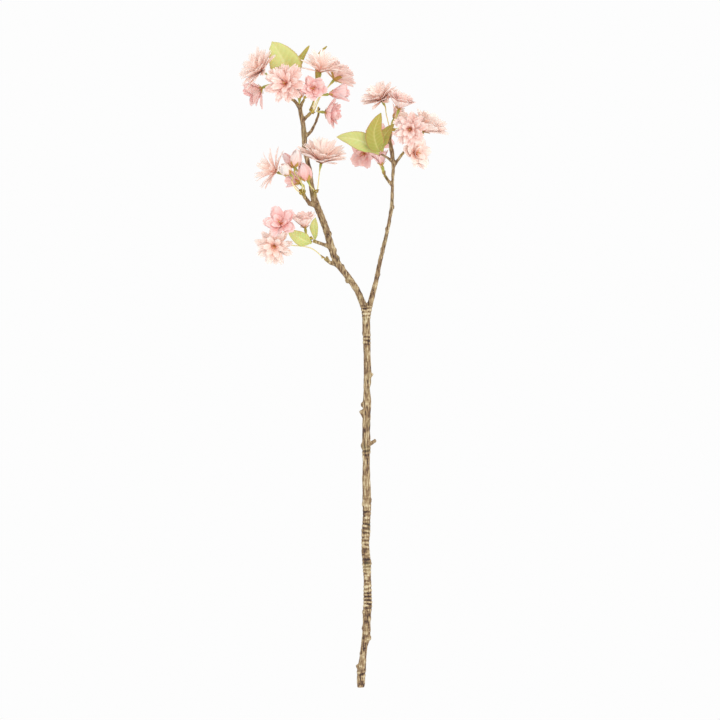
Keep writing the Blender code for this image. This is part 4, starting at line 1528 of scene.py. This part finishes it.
@dataclass
class Studio:
    """Glowing white table, soft daylight from the right and a camera that looks straight down."""

    camera_height: float = 9.0
    frame_width: float = 0.8136
    centre: tuple[float, float] = (0.0183, 0.0062)
    sky_strength: float = 1.12
    sun_strength: float = 0.68
    table_glow: float = 0.982
    table_reach: float = 6.0
    sensor_width: float = 36.0
    sun_angle: float = math.radians(25.0)
    sun_colour: tuple[float, float, float] = (1.0, 0.985, 0.96)
    sun_direction: tuple[float, float, float] = (-0.75, -0.35, -0.9)

    def build(self) -> None:
        """Build the table, the light and the camera."""
        self.build_table()
        self.build_light()
        self.build_camera()

    def build_table(self) -> None:
        """Lay a light table: evenly white, and with no shadow on it."""
        made, _, shader = new_material("light_table")
        shader.inputs["Base Color"].default_value = (0.0, 0.0, 0.0, 1.0)
        shader.inputs["Specular IOR Level"].default_value = 0.0
        shader.inputs["Emission Color"].default_value = (1.0, 1.0, 1.0, 1.0)
        shader.inputs["Emission Strength"].default_value = self.table_glow
        mesh = bpy.data.meshes.new("table_top")
        side = self.table_reach
        mesh.from_pydata([(-side, -side, 0.0), (side, -side, 0.0), (side, side, 0.0),
                          (-side, side, 0.0)], [], [(0, 1, 2, 3)])
        mesh.materials.append(made)
        floor = put_in_scene(mesh, "table_top")

    def build_light(self) -> None:
        """Light the sprig from a white sky and a broad, soft sun."""
        world = bpy.data.worlds.new("daylight")
        bpy.context.scene.world = world
        world.use_nodes = True
        sky = world.node_tree.nodes["Background"]
        sky.inputs["Color"].default_value = (1.0, 1.0, 1.0, 1.0)
        sky.inputs["Strength"].default_value = self.sky_strength
        lamp = bpy.data.lights.new("soft_sun", "SUN")
        lamp.angle = self.sun_angle
        lamp.energy = self.sun_strength
        lamp.color = self.sun_colour
        glow = bpy.data.objects.new("soft_sun", lamp)
        glow.rotation_euler = Vector(self.sun_direction).to_track_quat("-Z", "Y").to_euler()
        bpy.context.scene.collection.objects.link(glow)
        bpy.context.scene.view_settings.view_transform = "Standard"

    def build_camera(self) -> None:
        """Hang the camera straight above the sprig's middle."""
        lens = bpy.data.cameras.new("overhead_camera")
        lens.sensor_width = self.sensor_width
        middle = (CAD_BOX[0].z + CAD_BOX[1].z) / 2.0
        lens.lens = lens.sensor_width * self.camera_height / self.frame_width
        camera = bpy.data.objects.new("overhead_camera", lens)
        camera.location = (self.centre[0], self.centre[1], middle + self.camera_height)
        bpy.context.scene.collection.objects.link(camera)
        bpy.context.scene.camera = camera


# --------------------------------------------------------------------------- the sprig


BLOSSOMS = (
    Blossom("crown_blossom_1", Habit.FAN, Tone.PALE, 101),
    Blossom("crown_blossom_2", Habit.CUP, Tone.PINK, 102),
    Blossom("crown_blossom_3", Habit.FAN, Tone.BLUSH, 103),
    Blossom("crown_blossom_4", Habit.OPEN, Tone.PINK, 104),
    Blossom("crown_blossom_5", Habit.SPARSE, Tone.PALE, 105),
    Blossom("crown_blossom_6", Habit.FULL, Tone.BLUSH, 106, sepal_length=12.0 * MM),
    Blossom("crown_blossom_7", Habit.CLOSED, Tone.PINK, 107),
    Blossom("crown_blossom_8", Habit.CLOSED, Tone.PINK, 108),
    Blossom("middle_blossom_1", Habit.SPARSE, Tone.PALE, 111),
    Blossom("middle_blossom_2", Habit.CLOSED, Tone.PINK, 112),
    Blossom("middle_blossom_3", Habit.FAN, Tone.PALE, 113),
    Blossom("lower_blossom_1", Habit.OPEN, Tone.PINK, 121),
    Blossom("lower_blossom_2", Habit.CUP, Tone.BLUSH, 122),
    Blossom("lower_blossom_3", Habit.FAN, Tone.PALE, 123),
    Blossom("right_blossom_1", Habit.FAN, Tone.PALE, 131),
    Blossom("right_blossom_2", Habit.CUP, Tone.BLUSH, 132),
    Blossom("right_blossom_3", Habit.FULL, Tone.BLUSH, 133),
    Blossom("right_blossom_4", Habit.CUP, Tone.PALE, 134),
    Blossom("right_blossom_5", Habit.OPEN, Tone.PALE, 135),
    Blossom("right_blossom_6", Habit.OPEN, Tone.PINK, 136),
    Blossom("right_blossom_7", Habit.CUP, Tone.PINK, 137),
    Blossom("right_blossom_8", Habit.CUP, Tone.PINK, 138),
)
BUDS = (
    Bud("crown_bud_1", Tone.BLUSH, 201),
    Bud("middle_bud_1", Tone.PINK, 211),
    Bud("middle_bud_2", Tone.BLUSH, 212),
    Bud("middle_bud_3", Tone.PALE, 213),
    Bud("middle_bud_4", Tone.PINK, 214),
    Bud("right_bud_1", Tone.BLUSH, 221, loose=6),
)
CUFFS = (
    ScaleCuff("crown_left_bud_scales",
              ("crown_blossom_1_calyx", "crown_blossom_2_calyx", "crown_blossom_3_calyx"), 301),
    ScaleCuff("crown_right_bud_scales",
              ("crown_blossom_4_calyx", "crown_blossom_5_calyx", "crown_blossom_6_calyx",
               "crown_blossom_7_calyx", "crown_blossom_8_calyx"), 302),
    ScaleCuff("middle_left_bud_scales",
              ("middle_blossom_1_calyx", "middle_blossom_2_calyx", "middle_bud_1",
               "middle_bud_2", "middle_bud_3"), 303),
    ScaleCuff("middle_front_bud_scales", ("middle_blossom_3_calyx", "middle_bud_4"), 304),
    ScaleCuff("lower_bud_scales",
              ("lower_blossom_1_calyx", "lower_blossom_2_calyx", "lower_blossom_3_calyx"), 305),
    ScaleCuff("right_bud_scales",
              ("right_blossom_1_calyx", "right_blossom_2_calyx", "right_blossom_3_calyx",
               "right_blossom_4_calyx", "right_bud_1"), 306),
    ScaleCuff("right_low_bud_scales",
              ("right_blossom_5_calyx", "right_blossom_6_calyx", "right_blossom_7_calyx",
               "right_blossom_8_calyx"), 307),
)
LEAVES = (
    Leaf("crown_leaf_1", SPRING_LEAF, fullness=1.3),
    Leaf("crown_leaf_2", OLIVE_LEAF),
    Leaf("crown_leaf_3", OLIVE_LEAF),
    Leaf("lower_leaf_1", SPRING_LEAF),
    Leaf("lower_leaf_2", SPRING_LEAF),
    Leaf("right_leaf_1", SPRING_LEAF),
    Leaf("right_leaf_2", OLIVE_LEAF),
    Leaf("right_leaf_3", OLIVE_LEAF),
)


def main() -> None:
    """Build the sprig and its studio."""
    logging.basicConfig(level=logging.INFO, format="%(message)s")
    WoodyBranch().build()
    for plant_part in (*BLOSSOMS, *BUDS, *CUFFS, *LEAVES):
        plant_part.build()
    Studio().build()


if __name__ == "__main__":
    main()
